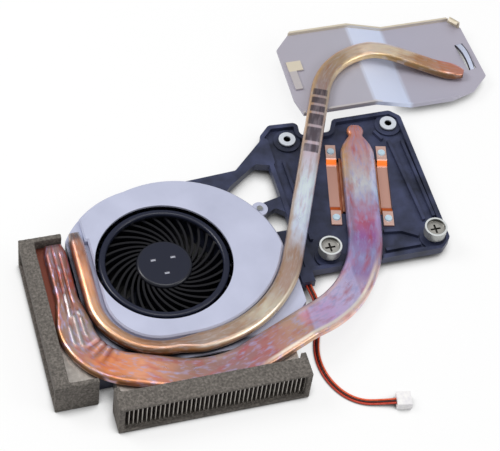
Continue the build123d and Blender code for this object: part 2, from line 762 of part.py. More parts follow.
yoke_radius = cup_radius - press_clear
yoke_top = cup_top - press_clear
yoke_bottom = yoke_top - yoke_depth
with BuildPart() as rotor_yoke:
    with BuildSketch(Plane.XZ):
        with BuildLine():
            Polyline(
                (yoke_hole, yoke_top), (yoke_radius, yoke_top), (yoke_radius, yoke_bottom),
                (yoke_radius - yoke_wall, yoke_bottom), (yoke_radius - yoke_wall, yoke_top - yoke_wall),
                (yoke_hole, yoke_top - yoke_wall), close=True)
        make_face()
    revolve(axis=Axis.Z)
write(rotor_yoke, "rotor_yoke")

magnet_radius = yoke_radius - yoke_wall - press_clear
with BuildPart() as rotor_magnet:
    with BuildSketch(level(yoke_bottom)):
        Circle(magnet_radius)
        Circle(magnet_radius - magnet_wall, mode=Mode.SUBTRACT)
    extrude(amount=magnet_height)
write(rotor_magnet, "rotor_magnet")

with BuildPart() as fan_shaft:
    with BuildSketch(level(base_floor + shaft_end)):
        Circle(shaft_radius)
    extrude(amount=shaft_top - press_clear - base_floor - shaft_end)
write(fan_shaft, "fan_shaft")

# Still parts of the motor
with BuildPart() as bearing_sleeve:
    with BuildSketch(level(base_floor)):
        Circle(sleeve_radius)
        Circle(shaft_radius + shaft_clear, mode=Mode.SUBTRACT)
    extrude(amount=boss_high - base_floor)
write(bearing_sleeve, "bearing_sleeve")

core_radius = magnet_radius - magnet_wall - air_gap
with BuildPart() as stator_core:
    with BuildSketch(level(core_bottom)):
        Circle(core_radius)
        Circle(core_radius - pole_shoe, mode=Mode.SUBTRACT)
        with PolarLocations(core_radius, pole_count, start_angle=180 / pole_count):
            Rectangle(3 * pole_shoe, pole_slot, mode=Mode.SUBTRACT)
        with PolarLocations((core_bore + core_radius) / 2, pole_count):
            Rectangle(core_radius - core_bore - core_ring, pole_neck)
        Circle(core_bore + core_ring)
        Circle(core_bore, mode=Mode.SUBTRACT)
    extrude(amount=core_height)
write(stator_core, "stator_core")

coil_place = (coil_inner + coil_outer) / 2
with BuildPart() as stator_coils:
    with BuildSketch(level(core_bottom - coil_thick)):
        with PolarLocations(coil_place, pole_count):
            Rectangle(coil_outer - coil_inner, pole_neck + 2 * coil_thick)
    extrude(amount=core_height + 2 * coil_thick)
    with BuildSketch(level(core_bottom - press_clear)):
        with PolarLocations(coil_place, pole_count):
            Rectangle(coil_outer - coil_inner, pole_neck + 2 * press_clear)
    extrude(amount=core_height + 2 * press_clear, mode=Mode.SUBTRACT)
write(stator_coils, "stator_coils")

with BuildPart() as fan_circuit_board:
    with BuildSketch(level(base_floor)):
        Circle(board_radius)
        Circle(core_bore, mode=Mode.SUBTRACT)
    extrude(amount=board_thick)
write(fan_circuit_board, "fan_circuit_board")

# Fin stacks: folded fins read as one block with an air passage between each two
air_slot = fin_pitch - fin_thick
stack_middle = foam_under + stack_height / 2
front_face = front_back_face - fin_depth
lip_height = wide_top - foam_under
with BuildPart() as front_fin_stack:
    with BuildSketch(level(foam_under)):
        with Locations((front_start, front_back_face)):
            Rectangle(front_length, fin_depth, align=(Align.MIN, Align.MAX))
    extrude(amount=stack_height)
    with BuildSketch(level(foam_under)):
        with Locations((front_start, front_face)):
            Rectangle(front_length, fin_lip, align=(Align.MIN, Align.MIN))
    extrude(amount=lip_height)
    with BuildSketch(Plane.XZ.offset(-front_back_face)):
        with Locations((front_start + front_length / 2, stack_middle)):
            with GridLocations(fin_pitch, stack_height, front_fins - 1, 1):
                Rectangle(air_slot, stack_height - 2 * fin_skin)
    extrude(amount=fin_depth, mode=Mode.SUBTRACT)
    with BuildSketch(Plane.XZ.offset(-front_face - fin_lip)):
        with Locations((front_start + front_length / 2, foam_under + lip_height / 2)):
            with GridLocations(fin_pitch, lip_height, front_fins - 1, 1):
                Rectangle(air_slot, lip_height - 2 * fin_skin)
    extrude(amount=fin_lip, mode=Mode.SUBTRACT)
write(front_fin_stack, "front_fin_stack")

with BuildPart() as left_fin_stack:
    with BuildSketch(level(foam_under)):
        with Locations((left_back_face, left_start)):
            Rectangle(left_depth, left_length, align=(Align.MAX, Align.MIN))
    extrude(amount=stack_height)
    with BuildSketch(Plane.YZ.offset(left_back_face)):
        with Locations((left_start + left_length / 2, stack_middle)):
            with GridLocations(fin_pitch, stack_height, left_fins - 1, 1):
                Rectangle(air_slot, stack_height - 2 * fin_skin)
    extrude(amount=-left_depth, mode=Mode.SUBTRACT)
write(left_fin_stack, "left_fin_stack")

# Foam round the front outlet: sleeve with side walls, and a strip that laps over the wide pipe
corner_align = (Align.MIN, Align.MIN)
with BuildPart() as front_foam_gasket:
    with BuildSketch():
        with Locations((front_start - foam_side, front_foam_face)):
            Rectangle(front_length + 2 * foam_side, foam_arm, align=corner_align)
    extrude(amount=foam_top)
    with BuildSketch(level(foam_under)):
        with Locations((front_start, front_foam_face)):
            Rectangle(front_length, foam_arm, align=corner_align)
    extrude(amount=foam_inside - foam_under, mode=Mode.SUBTRACT)
    with BuildSketch(level(foam_inside)):
        with Locations((front_start, front_foam_face + foam_strip)):
            Rectangle(front_length, foam_arm, align=corner_align)
    extrude(amount=foam_over, mode=Mode.SUBTRACT)
write(front_foam_gasket, "front_foam_gasket")

# Foam round the left outlet: its top strip lies beside the wide pipe
left_strip_edge = wide_run_x - wide_width / 2 - foam_clear
with BuildPart() as left_foam_gasket:
    with BuildSketch():
        with Locations((left_foam_face, left_start - foam_side)):
            Rectangle(left_back_face - left_foam_face, left_length + 2 * foam_side, align=corner_align)
    extrude(amount=foam_top)
    with BuildSketch(level(foam_under)):
        with Locations((left_foam_face, left_start)):
            Rectangle(left_back_face - left_foam_face, left_length, align=corner_align)
    extrude(amount=stack_height, mode=Mode.SUBTRACT)
    with BuildSketch(level(seat_level)):
        with Locations((left_strip_edge, left_start)):
            Rectangle(left_back_face - left_strip_edge, left_length, align=corner_align)
    extrude(amount=foam_top - seat_level, mode=Mode.SUBTRACT)
write(left_foam_gasket, "left_foam_gasket")

# Cold plate: land under the wide pipe, thin flanges under the strips
cold_bottom = bracket_bottom - cold_foot
strip_low = bracket_top - strip_rise
with BuildPart() as cpu_cold_plate:
    with BuildSketch(processor_plane(cold_bottom)):
        Rectangle(cold_width, cold_length)
    extrude(amount=strip_low - cold_bottom)
    with BuildSketch(processor_plane(strip_low)):
        Rectangle(cold_land, cold_length)
    extrude(amount=low_seat - strip_low)
write(cpu_cold_plate, "cpu_cold_plate")

# Spring strips: pads on the bracket, middle pressed down on the cold plate's flanges
pad_start = strip_length / 2 - strip_pad
strip_line = [
    (-strip_length / 2, bracket_top), (-pad_start, bracket_top), (strip_joggle - pad_start, strip_low),
    (pad_start - strip_joggle, strip_low), (pad_start, bracket_top), (strip_length / 2, bracket_top)]
strip_top_line = [(along, height + strip_thick) for along, height in reversed(strip_line)]
for name, side in (("left_spring_strip", -1), ("right_spring_strip", 1)):
    place = processor_plane(0).from_local_coords((side * strip_offset, strip_shift, 0))
    with BuildPart() as strip:
        with BuildSketch(Plane(origin=place, x_dir=tilt_along, z_dir=tilt_across)):
            with BuildLine():
                Polyline(*strip_line, *strip_top_line, close=True)
            make_face()
        extrude(amount=strip_width / 2, both=True)
        with BuildSketch(processor_plane(bracket_top)):
            with Locations((side * strip_offset, strip_shift)):
                with GridLocations(strip_width, 2 * strip_rivet_along, 1, 2):
                    Circle(strip_rivet + press_clear)
        extrude(amount=strip_thick, mode=Mode.SUBTRACT)
    write(strip, name)

with BuildPart() as strip_rivets:
    with BuildSketch(processor_plane(bracket_bottom)):
        with Locations((0, strip_shift)):
            with GridLocations(2 * strip_offset, 2 * strip_rivet_along, 2, 2):
                Circle(strip_rivet)
    extrude(amount=bracket_top + strip_thick - bracket_bottom)
    with BuildSketch(processor_plane(bracket_top + strip_thick)):
        with Locations((0, strip_shift)):
            with GridLocations(2 * strip_offset, 2 * strip_rivet_along, 2, 2):
                Circle(strip_rivet_head)
    extrude(amount=rivet_head, taper=rivet_slope)
write(strip_rivets, "strip_rivets")

# Chipset plate: one sheet with a step down, its front and back edges folded up
plate_high = seat_level + solder - plate_gap
plate_low = plate_high - processor_drop
plate_span = (plate_left_edge[1][0], plate_right_edge[2][0])
step_line = [(plate_span[0], plate_high), (plate_step[0], plate_high), (plate_step[1], plate_low),
             (plate_span[1], plate_low)]
with BuildPart() as chipset_plate:
    with BuildSketch(Plane.XZ.offset(-plate_back)):
        with BuildLine():
            Polyline(*[(x, z + plate_rim) for x, z in step_line],
                     *[(x, z - sheet) for x, z in reversed(step_line)], close=True)
        make_face()
    extrude(amount=plate_back - plate_front)
    with BuildSketch(Plane.XZ.offset(-plate_back + sheet)):
        with BuildLine():
            Polyline(*[(x, z + plate_rim) for x, z in step_line],
                     *[(x, z) for x, z in reversed(step_line)], close=True)
        make_face()
    extrude(amount=plate_back - plate_front - 2 * sheet, mode=Mode.SUBTRACT)
    # Gap in the front rim where the narrow pipe comes in
    with BuildSketch(level(plate_high)):
        trace(narrow_plan.line, narrow_width + 2 * pipe_channel)
    extrude(amount=plate_rim, mode=Mode.SUBTRACT)
    # Raised angle in the sheet's left part
    with BuildSketch(level(plate_high)):
        with BuildLine():
            Polyline(*plate_boss, close=True)
        make_face()
    extrude(amount=plate_boss_rise)
    with BuildSketch():
        with BuildLine():
            Polyline(*plate_left_edge, *plate_right_edge, close=True)
        make_face()
        with BuildLine():
            Polyline(*plate_slot, close=True)
        make_face(mode=Mode.SUBTRACT)
    extrude(amount=plate_high + plate_rim, mode=Mode.INTERSECT)
write(chipset_plate, "chipset_plate")

# Sprung captive screws of the bracket's front corners
head_bottom = boss_top + screw_lift
head_top = head_bottom + screw_head_height
cup_floor = head_top - screw_cup_depth
skirt_bottom = head_bottom - screw_skirt
clip_top = bracket_bottom - clip_clear
spring_low = boss_top + spring_end + spring_wire / 2
spring_rise = screw_lift - spring_wire - 2 * spring_end
coil_steps = round(spring_turns * spring_steps)
coil_points = [
    (spring_radius * cos(2 * pi * step / spring_steps), spring_radius * sin(2 * pi * step / spring_steps),
     spring_rise * step / coil_steps)
    for step in range(coil_steps + 1)]
for side, place in (("left", fixings_front[0]), ("right", fixings_front[1])):
    with BuildPart() as screw:
        with BuildSketch(Plane(origin=(*place, 0), x_dir=(1, 0, 0), z_dir=(0, -1, 0))):
            with BuildLine():
                Polyline(
                    (0, screw_tip), (screw_thread - screw_chamfer, screw_tip),
                    (screw_thread, screw_tip + screw_chamfer), (screw_thread, thread_top),
                    (screw_shank, thread_top), (screw_shank, head_bottom), (screw_skirt_bore, head_bottom),
                    (screw_skirt_bore, skirt_bottom), (screw_skirt_foot, skirt_bottom),
                    (screw_head_radius, skirt_bottom + screw_skirt_slope), (screw_head_radius, head_top),
                    (screw_cup_radius, head_top), (screw_cup_radius, cup_floor), (0, cup_floor), close=True)
            make_face()
        revolve(axis=Axis(place, (0, 0, 1)))
        with BuildSketch(level(cup_floor - screw_cross[2])):
            with Locations(place):
                Rectangle(screw_cross[0], screw_cross[1])
                Rectangle(screw_cross[1], screw_cross[0])
        extrude(amount=screw_cross[2], mode=Mode.SUBTRACT)
    write(screw, f"captive_screw_{side}")
    with BuildPart() as spring:
        with BuildLine(Plane(origin=(*place, spring_low))) as coil:
            Polyline(*coil_points)
        with BuildSketch(Plane(origin=coil.line @ 0, z_dir=coil.line % 0)):
            RegularPolygon(spring_wire / 2, spring_sides)
        sweep(path=coil.line, transition=Transition.RIGHT)
    write(spring, f"screw_spring_{side}")
    with BuildPart() as clip:
        with BuildSketch(level(clip_top - clip_thick)):
            with Locations(place):
                Circle(clip_radius)
                Circle(screw_shank + press_clear, mode=Mode.SUBTRACT)
                Rectangle(clip_radius, clip_gap, align=(Align.MIN, Align.CENTER), mode=Mode.SUBTRACT)
        extrude(amount=clip_thick)
    write(clip, f"retaining_clip_{side}")

with BuildPart() as rear_eyelets:
    with BuildSketch(level(bracket_bottom)):
        with Locations(*fixings_rear):
            Circle(eyelet_bore + eyelet_wall)
    extrude(amount=boss_top - bracket_bottom)
    with BuildSketch(level(boss_top)):
        with Locations(*fixings_rear):
            Circle(eyelet_radius)
    extrude(amount=eyelet_flange)
    with BuildSketch(level(bracket_bottom)):
        with Locations(*fixings_rear):
            Circle(eyelet_bore)
    extrude(amount=seat_level, mode=Mode.SUBTRACT)
write(rear_eyelets, "rear_eyelets")


# Fan lead: three wires side by side
def lead_route(shift):
    # Middle wire's points moved sideways in plan, square to the turn at each point
    route = []
    last = len(lead_points) - 1
    for number, point in enumerate(lead_points):
        before = Vector(*lead_points[max(number - 1, 0)])
        after = Vector(*lead_points[min(number + 1, last)])
        heading = after - before
        across = Vector(-heading.Y, heading.X).normalized()
        route.append(Vector(*point) + across * shift)
    return route


def bend_radii(route):
    # Largest arc that leaves a straight tenth of the shorter run at each turn
    radii = []
    for before, here, after in zip(route, route[1:], route[2:]):
        half_turn = radians((here - before).get_angle(after - here)) / 2
        radii.append(bend_share * min((here - before).length, (after - here).length) / tan(half_turn))
    return radii


for name, shift in (("orange", wire_pitch), ("black", 0), ("red", -wire_pitch)):
    route = lead_route(shift)
    radii = bend_radii(route)
    with BuildPart() as wire:
        with BuildLine() as run:
            FilletPolyline(*route, radius=radii)
        with BuildSketch(Plane(origin=run.line @ 0, z_dir=run.line % 0)):
            RegularPolygon(wire_diameter / 2, wire_sides)
        sweep(path=run.line)
    write(wire, f"lead_wire_{name}")
    length = sum(edge.length for edge in run.edges())
    print(name, "length", round(length, 2), "volume", round(wire.part.volume, 2),
          "radii", [round(radius, 1) for radius in radii])

# Plug on the lead's end: pocket for the wires at the back, three cells with contacts at the front
lead_end = Vector(*lead_points[-1])
lead_heading = lead_end - Vector(*lead_points[-2])
lead_flat = Vector(lead_heading.X, lead_heading.Y).normalized()
plug_back = lead_end - lead_flat * plug_pocket
plug_plane = upright_plane(plug_back, lead_flat)
plug_face = upright_plane(plug_back + lead_flat * plug_length, lead_flat)
cell_size = contact_size + 2 * contact_clear
with BuildPart() as connector_housing:
    with BuildSketch(plug_plane):
        Rectangle(plug_width, plug_height)
    extrude(amount=plug_length)
    with BuildSketch(plug_plane):
        Rectangle(lead_slot, lead_slot_high)
    extrude(amount=plug_pocket + lead_ease, mode=Mode.SUBTRACT)
    with BuildSketch(plug_face):
        with GridLocations(wire_pitch, plug_height, 3, 1):
            Rectangle(cell_size, cell_size)
    extrude(amount=-contact_depth, mode=Mode.SUBTRACT)
write(connector_housing, "connector_housing")

with BuildPart() as connector_contacts:
    with BuildSketch(plug_face.offset(-contact_depth)):
        with GridLocations(wire_pitch, plug_height, 3, 1):
            Rectangle(contact_size, contact_size)
    extrude(amount=contact_length)
write(connector_contacts, "connector_contacts")
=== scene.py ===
import bmesh
import bpy
import numpy as np
from mathutils import Matrix, Vector


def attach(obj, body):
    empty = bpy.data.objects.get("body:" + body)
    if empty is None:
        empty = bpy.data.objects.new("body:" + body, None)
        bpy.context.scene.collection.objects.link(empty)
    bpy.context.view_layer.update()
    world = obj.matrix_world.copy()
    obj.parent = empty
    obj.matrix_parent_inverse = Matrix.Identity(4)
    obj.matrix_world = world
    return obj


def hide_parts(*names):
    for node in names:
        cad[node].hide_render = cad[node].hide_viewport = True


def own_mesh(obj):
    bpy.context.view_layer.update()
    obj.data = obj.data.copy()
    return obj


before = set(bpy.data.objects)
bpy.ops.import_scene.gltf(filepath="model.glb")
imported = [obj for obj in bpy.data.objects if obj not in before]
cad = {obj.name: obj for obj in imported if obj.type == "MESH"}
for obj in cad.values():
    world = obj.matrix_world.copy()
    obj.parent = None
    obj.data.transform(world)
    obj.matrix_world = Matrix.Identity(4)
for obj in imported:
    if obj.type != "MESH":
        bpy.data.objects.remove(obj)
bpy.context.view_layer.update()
scene = bpy.context.scene
mm = 0.001  # sizes below are written in millimetres
mergeReach = 0.002 * mm
print("frame loaded:", len(cad), "nodes")


def paint(code):
    # sRGB hex to linear colour
    channels = np.array([int(code[i:i + 2], 16) for i in (1, 3, 5)]) / 255
    linear = np.where(channels <= 0.04045, channels / 12.92, ((channels + 0.055) / 1.055) ** 2.4)
    return (*linear.tolist(), 1.0)


def feed(tree, node, inputs):
    # A link or a value for each named input; a node given as the value stands for its first output in use
    for name, value in inputs.items():
        if isinstance(value, bpy.types.Node):
            value = next(socket for socket in value.outputs if socket.enabled)
        if isinstance(value, bpy.types.NodeSocket):
            tree.links.new(value, node.inputs[name])
        else:
            node.inputs[name].default_value = value


def addNode(tree, kind, inputs, stops=(), **settings):
    # One shader node: its settings, its ramp stops and its inputs
    made = tree.nodes.new("ShaderNode" + kind)
    for name, value in settings.items():
        setattr(made, name, value)
    for number, (place, code) in enumerate(stops):
        ramp = made.color_ramp.elements
        stop = ramp[number] if number < 2 else ramp.new(place)
        stop.position = place
        stop.color = paint(code)
    feed(tree, made, inputs)
    return made


def span(start, end):
    # The two ends of what a range map reads
    return {"From Min": start, "From Max": end}


def startMaterial(name, metallic, roughness):
    # Fresh material: its tree, its shader, and the Object coordinates that every pattern reads
    material = bpy.data.materials.new(name)
    material.use_nodes = True
    tree = material.node_tree
    shader = tree.nodes["Principled BSDF"]
    feed(tree, shader, {"Metallic": metallic, "Roughness": roughness})
    place = addNode(tree, "TexCoord", {}).outputs["Object"]
    return material, tree, shader, place


def dress(material, *names):
    for name in names:
        cad[name].data.materials.clear()
        cad[name].data.materials.append(material)


def gridFaces(rows, columns):
    # Quads between neighbouring rows; the last column joins the first
    row, column = np.meshgrid(np.arange(rows - 1), np.arange(columns), indexing="ij")
    near = row * columns + column
    beside = row * columns + (column + 1) % columns
    return np.stack([near, beside, beside + columns, near + columns], -1).reshape(-1, 4)


def tubeFaces(rows, columns):
    # The sides of a strip or tube, and one face over each end
    count = rows * columns
    return [*gridFaces(rows, columns).tolist(), list(range(columns)), list(range(count - columns, count))[::-1]]


def addPiece(name, points, faces, body, replaced, material, marks=None):
    # One smooth mesh from arrays in millimetres; seams and poles are merged, faces turned outwards
    mesh = bpy.data.meshes.new(name)
    mesh.from_pydata((points * mm).tolist(), [], [list(face) for face in faces])
    for mark, values in (marks or {}).items():
        mesh.attributes.new(mark, "FLOAT", "POINT").data.foreach_set("value", values)
    work = bmesh.new()
    work.from_mesh(mesh)
    bmesh.ops.remove_doubles(work, verts=work.verts, dist=mergeReach)
    bmesh.ops.recalc_face_normals(work, faces=work.faces)
    work.to_mesh(mesh)
    work.free()
    mesh.polygons.foreach_set("use_smooth", np.ones(len(mesh.polygons), bool))
    mesh.materials.append(material)
    piece = bpy.data.objects.new(name, mesh)
    scene.collection.objects.link(piece)
    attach(piece, body)
    if replaced:
        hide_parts(replaced)
    return piece


def splitCreases(piece, degrees=40):
    # Keeps the flats flat and the corners crisp
    creases = piece.modifiers.new("creases", "EDGE_SPLIT")
    creases.split_angle = np.radians(degrees)


# Camera: the photograph's viewing angle and lens, worked out for a 500 x 451 picture
cameraFacts = {"target": (35.22, 16.52, 0.0), "elevation": 53.21, "azimuth": -22.62, "roll": 8.78,
               "distance": 643.91, "focalPixels": 1863.45, "widthPixels": 500, "sensor": 36.0,
               "clipStart": 10.0}


def makeCamera(facts):
    elevation, azimuth, roll = np.radians([facts["elevation"], facts["azimuth"], facts["roll"]])
    back = np.array([np.sin(azimuth) * np.cos(elevation), -np.cos(azimuth) * np.cos(elevation),
                     np.sin(elevation)])
    right = np.array([np.cos(azimuth), np.sin(azimuth), 0.0])
    up = np.cross(back, right)
    right, up = np.cos(roll) * right + np.sin(roll) * up, -np.sin(roll) * right + np.cos(roll) * up
    centre = (np.array(facts["target"]) + back * facts["distance"]) * mm
    data = bpy.data.cameras.new("photo_camera")
    data.sensor_width = facts["sensor"]
    data.sensor_fit = "HORIZONTAL"
    data.lens = facts["focalPixels"] / facts["widthPixels"] * facts["sensor"]
    data.clip_start = facts["clipStart"] * mm
    camera = bpy.data.objects.new("photo_camera", data)
    pose = np.eye(4)
    pose[:3, :4] = np.column_stack([right, up, back, centre])
    camera.matrix_world = Matrix(pose.tolist())
    scene.collection.objects.link(camera)
    scene.camera = camera


makeCamera(cameraFacts)
print("camera placed")

# Fan lead: three PVC wires side by side, laid along one route of points
leadFacts = {
    "route": [(46.9, -11.2, 3.2), (47.1, -14.8, 3.1), (47.9, -18.6, 2.4), (47.9, -23.2, 1.5), (46.5, -28.2, 0.9),
              (44.1, -33.4, 0.6), (42.5, -39.0, 0.5), (42.4, -44.8, 0.5), (43.8, -50.6, 0.5), (47.0, -56.2, 0.5),
              (51.8, -60.0, 0.6), (57.8, -61.6, 1.1), (63.6, -62.6, 1.6)],
    "diameter": 0.7, "pitch": 0.72, "bevelSteps": 4, "curveSteps": 12, "unevenness": 1.5,
    "wires": [("orange", 1, "#E8623A", 64.2), ("black", 0, "#3A0E10", 65.2), ("red", -1, "#C03A22", 66.1)]}


def makeLead(facts):
    # Each wire: the route moved sideways in plan by its pitch, square to the heading at each point
    route = np.array(facts["route"])
    heading = route[np.minimum(np.arange(len(route)) + 1, len(route) - 1), :2] \
        - route[np.maximum(np.arange(len(route)) - 1, 0), :2]
    across = np.column_stack([-heading[:, 1], heading[:, 0], 0 * heading[:, 0]])
    across /= np.linalg.norm(across, axis=1, keepdims=True)
    for name, side, colour, length in facts["wires"]:
        points = (route + across * side * facts["pitch"]) * mm
        curve = bpy.data.curves.new(f"wire_{name}", "CURVE")
        curve.dimensions = "3D"
        curve.bevel_depth = facts["diameter"] / 2 * mm
        curve.bevel_resolution = facts["bevelSteps"]
        curve.resolution_u = facts["curveSteps"]
        curve.use_fill_caps = True
        spline = curve.splines.new("NURBS")
        spline.points.add(len(points) - 1)
        spline.points.foreach_set("co", np.column_stack([points, np.ones(len(points))]).ravel())
        spline.order_u = 3
        spline.use_endpoint_u = True
        wire = bpy.data.objects.new(f"wire_{name}", curve)
        scene.collection.objects.link(wire)
        # Extruded PVC: soft gloss, faint unevenness of the extrusion
        material, tree, shader, place = startMaterial(f"pvc_wire_{name}", 0.0, 0.38)
        uneven = addNode(tree, "TexNoise", {"Vector": place, "Scale": 1 / (facts["unevenness"] * mm), "Detail": 3.0})
        level = addNode(tree, "MapRange", {"Value": uneven, "To Min": 0.8, "To Max": 1.2})
        shade = addNode(tree, "HueSaturation", {"Color": paint(colour), "Value": level})
        feed(tree, shader, {"Base Color": shade})
        curve.materials.append(material)
        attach(wire, "cooler")
        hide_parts(f"lead_wire_{name}")


makeLead(leadFacts)
print("lead laid")

# Stage: white floor and plain soft light
stageFacts = {"floorHalf": 3.0, "floorDrop": 0.02, "whiteShare": 0.78, "fanReach": (19.0, 22.0),
              "worldLevel": 0.40, "shadeReach": 6.0, "shadeSpan": (0.3, 0.85), "aim": (30, 10, 0),
              "lamps": [("key", (-420, 260, 620), 380, 2.8), ("fill", (520, -320, 520), 420, 1.2),
                        ("top", (60, 30, 800), 520, 1.8)]}


def makeStage(facts):
    half = facts["floorHalf"]
    low = -facts["floorDrop"] * mm
    mesh = bpy.data.meshes.new("floor")
    mesh.from_pydata([(-half, -half, low), (half, -half, low), (half, half, low), (-half, half, low)], [],
                     [(0, 1, 2, 3)])
    floor = bpy.data.objects.new("floor", mesh)
    scene.collection.objects.link(floor)
    # White paper: part of its white comes straight to the eye and to mirrors, the rest keeps the shadow
    material, tree, paper, place = startMaterial("white_paper_floor", 0.0, 0.9)
    feed(tree, paper, {"Base Color": paint("#F4F4F4")})
    rays = addNode(tree, "LightPath", {})
    seen = addNode(tree, "Math", {0: rays.outputs["Is Camera Ray"], 1: rays.outputs["Is Glossy Ray"]},
                   operation="MAXIMUM")
    seenAll = addNode(tree, "Math", {0: seen, 1: rays.outputs["Is Transmission Ray"]}, operation="MAXIMUM")
    share = addNode(tree, "Math", {0: seenAll, 1: facts["whiteShare"]}, operation="MULTIPLY")
    # Painted shadow: under the object, and through its windows, ambient occlusion cuts the paper's glow, so it goes
    # dark as it does on a table
    shade = addNode(tree, "AmbientOcclusion", {"Distance": facts["shadeReach"] * mm})
    deep = addNode(tree, "MapRange", {"Value": shade.outputs["AO"], **span(*facts["shadeSpan"])},
                   interpolation_type="SMOOTHSTEP")
    # Painted shadow: no light comes up through the fan's lower inlet, so the glow is cut within a circle round the
    # fan's axis
    away = addNode(tree, "VectorMath", {0: place}, operation="LENGTH")
    near, far = facts["fanReach"]
    clear = addNode(tree, "MapRange", {"Value": away, **span(near * mm, far * mm)})
    lit = addNode(tree, "Math", {0: deep, 1: clear}, operation="MULTIPLY")
    glow = addNode(tree, "Emission", {"Color": (1, 1, 1, 1), "Strength": lit})
    both = addNode(tree, "MixShader", {0: share, 1: paper, 2: glow})
    feed(tree, tree.nodes["Material Output"], {"Surface": both})
    mesh.materials.append(material)
    # World: white where it is seen, a plain grey level as light
    world = bpy.data.worlds.new("studio")
    scene.world = world
    world.use_nodes = True
    tree = world.node_tree
    rays = addNode(tree, "LightPath", {})
    level = addNode(tree, "MapRange", {"Value": rays.outputs["Is Camera Ray"], "To Min": facts["worldLevel"],
                                       "To Max": 1.0})
    feed(tree, tree.nodes["Background"], {"Color": (1, 1, 1, 1), "Strength": level})
    for name, spot, size, watts in facts["lamps"]:
        lamp = bpy.data.lights.new(name, "AREA")
        lamp.shape = "DISK"
        lamp.size = size * mm
        lamp.energy = watts
        holder = bpy.data.objects.new(name, lamp)
        holder.location = Vector(spot) * mm
        aim = Vector(facts["aim"]) * mm - holder.location
        holder.rotation_euler = aim.to_track_quat("-Z", "Y").to_euler()
        scene.collection.objects.link(holder)
    scene.view_settings.view_transform = "Standard"


makeStage(stageFacts)
print("stage lit")

# Casting: magnesium die casting with a thin black paint, so a blue-black satin with a fine orange peel
material, tree, shader, place = startMaterial("painted_die_casting", 0.0, 0.42)
cloud = addNode(tree, "TexNoise", {"Vector": place, "Scale": 1 / (8.0 * mm), "Detail": 4.0})
tone = addNode(tree, "ValToRGB", {"Fac": cloud}, stops=[(0.3, "#222636"), (0.7, "#404664")])
orange = addNode(tree, "TexNoise", {"Vector": place, "Scale": 1 / (0.4 * mm), "Detail": 4.0})
peel = addNode(tree, "Bump", {"Height": orange, "Strength": 0.2, "Distance": 0.1 * mm})
feed(tree, shader, {"Base Color": tone, "Normal": peel, "Specular IOR Level": 0.35})
dress(material, "die_cast_frame")

# Cover: bead-blasted anodised aluminium sheet, a flat lavender grey with hardly any sheen
material, tree, shader, place = startMaterial("anodised_aluminium_sheet", 0.25, 0.55)
cloud = addNode(tree, "TexNoise", {"Vector": place, "Scale": 1 / (14.0 * mm), "Detail": 3.0})
tone = addNode(tree, "ValToRGB", {"Fac": cloud}, stops=[(0.3, "#B4B8CE"), (0.7, "#C0C4DA")])
# Painted shade in the narrow gap between the pipes, near black where ambient occlusion is low: only outside the
# narrow pipe's bend, so the distance from the bend's centre counts towards the left and the front alone
gapShadeFacts = {"reach": 2.5 * mm, "shade": (0.7, 0.4), "bendCentre": (-4.9 * mm, -11.1 * mm, 0),
            "outside": (21.5 * mm, 22.5 * mm)}
gap = addNode(tree, "AmbientOcclusion", {"Distance": gapShadeFacts["reach"]})
deep = addNode(tree, "MapRange", {"Value": gap.outputs["AO"], **span(*gapShadeFacts["shade"])})
aside = addNode(tree, "VectorMath", {0: place, 1: gapShadeFacts["bendCentre"]}, operation="SUBTRACT")
aside = addNode(tree, "VectorMath", {0: aside, 1: (0, 0, 0)}, operation="MINIMUM")
away = addNode(tree, "VectorMath", {0: aside}, operation="LENGTH")
beyond = addNode(tree, "MapRange", {"Value": away, **span(*gapShadeFacts["outside"])})
gapShade = addNode(tree, "Math", {0: deep, 1: beyond}, operation="MULTIPLY")
tone = addNode(tree, "Mix", {0: gapShade, 6: tone, 7: paint("#1C1A22")}, data_type="RGBA")
blast = addNode(tree, "TexNoise", {"Vector": place, "Scale": 1 / (0.25 * mm), "Detail": 3.0})
grit = addNode(tree, "Bump", {"Height": blast, "Strength": 0.1, "Distance": 0.05 * mm})
feed(tree, shader, {"Base Color": tone, "Normal": grit})
dress(material, "fan_cover")

# Plain metals and plastics: name, base colours, metallic, roughness, grain size in millimetres
plainFinishes = [
    ("tinned_copper_fins", "#9A948E", "#BCB6B0", 0.8, 0.4, 2.0, ["front_fin_stack"]),
    ("rolled_copper", "#B87858", "#D8A084", 1.0, 0.30, 4.0, ["cpu_cold_plate"]),
    ("nickel_plate", "#AEB0AE", "#D8DADA", 1.0, 0.22, 1.5, ["cover_rivet"]),
    # The rivets' tin is tinted pale blue as a painted reflection
    ("bright_tin_plate", "#BEDCEE", "#DCF0FC", 0.4, 0.3, 1.0, ["strip_rivets"]),
    ("bare_folded_sheet", "#C4B8A0", "#DCD2BE", 0.3, 0.4, 1.5, []),
    ("spring_steel", "#8C8A88", "#B4B2B0", 1.0, 0.30, 1.0, ["retaining_clip_left", "retaining_clip_right"]),
    ("motor_steel", "#86868A", "#A8A8AC", 1.0, 0.35, 1.0, ["rotor_yoke", "fan_shaft", "stator_core"]),
    ("sintered_bronze", "#8C6A3C", "#AC8A58", 1.0, 0.5, 0.5, ["bearing_sleeve"]),
    ("bonded_ferrite", "#2C2C2E", "#3C3C3E", 0.0, 0.7, 0.5, ["rotor_magnet"]),
    ("enamelled_winding", "#A85A2C", "#CC7C48", 0.9, 0.3, 0.3, ["stator_coils"]),
    ("green_board", "#14502C", "#206C40", 0.0, 0.35, 1.5, ["fan_circuit_board"]),
    ("moulded_nylon_plug", "#E2E0E4", "#F6F4F2", 0.0, 0.45, 1.5, ["connector_housing"]),
    ("tinned_brass", "#B09050", "#D8BC7C", 1.0, 0.25, 0.5, ["connector_contacts"])]
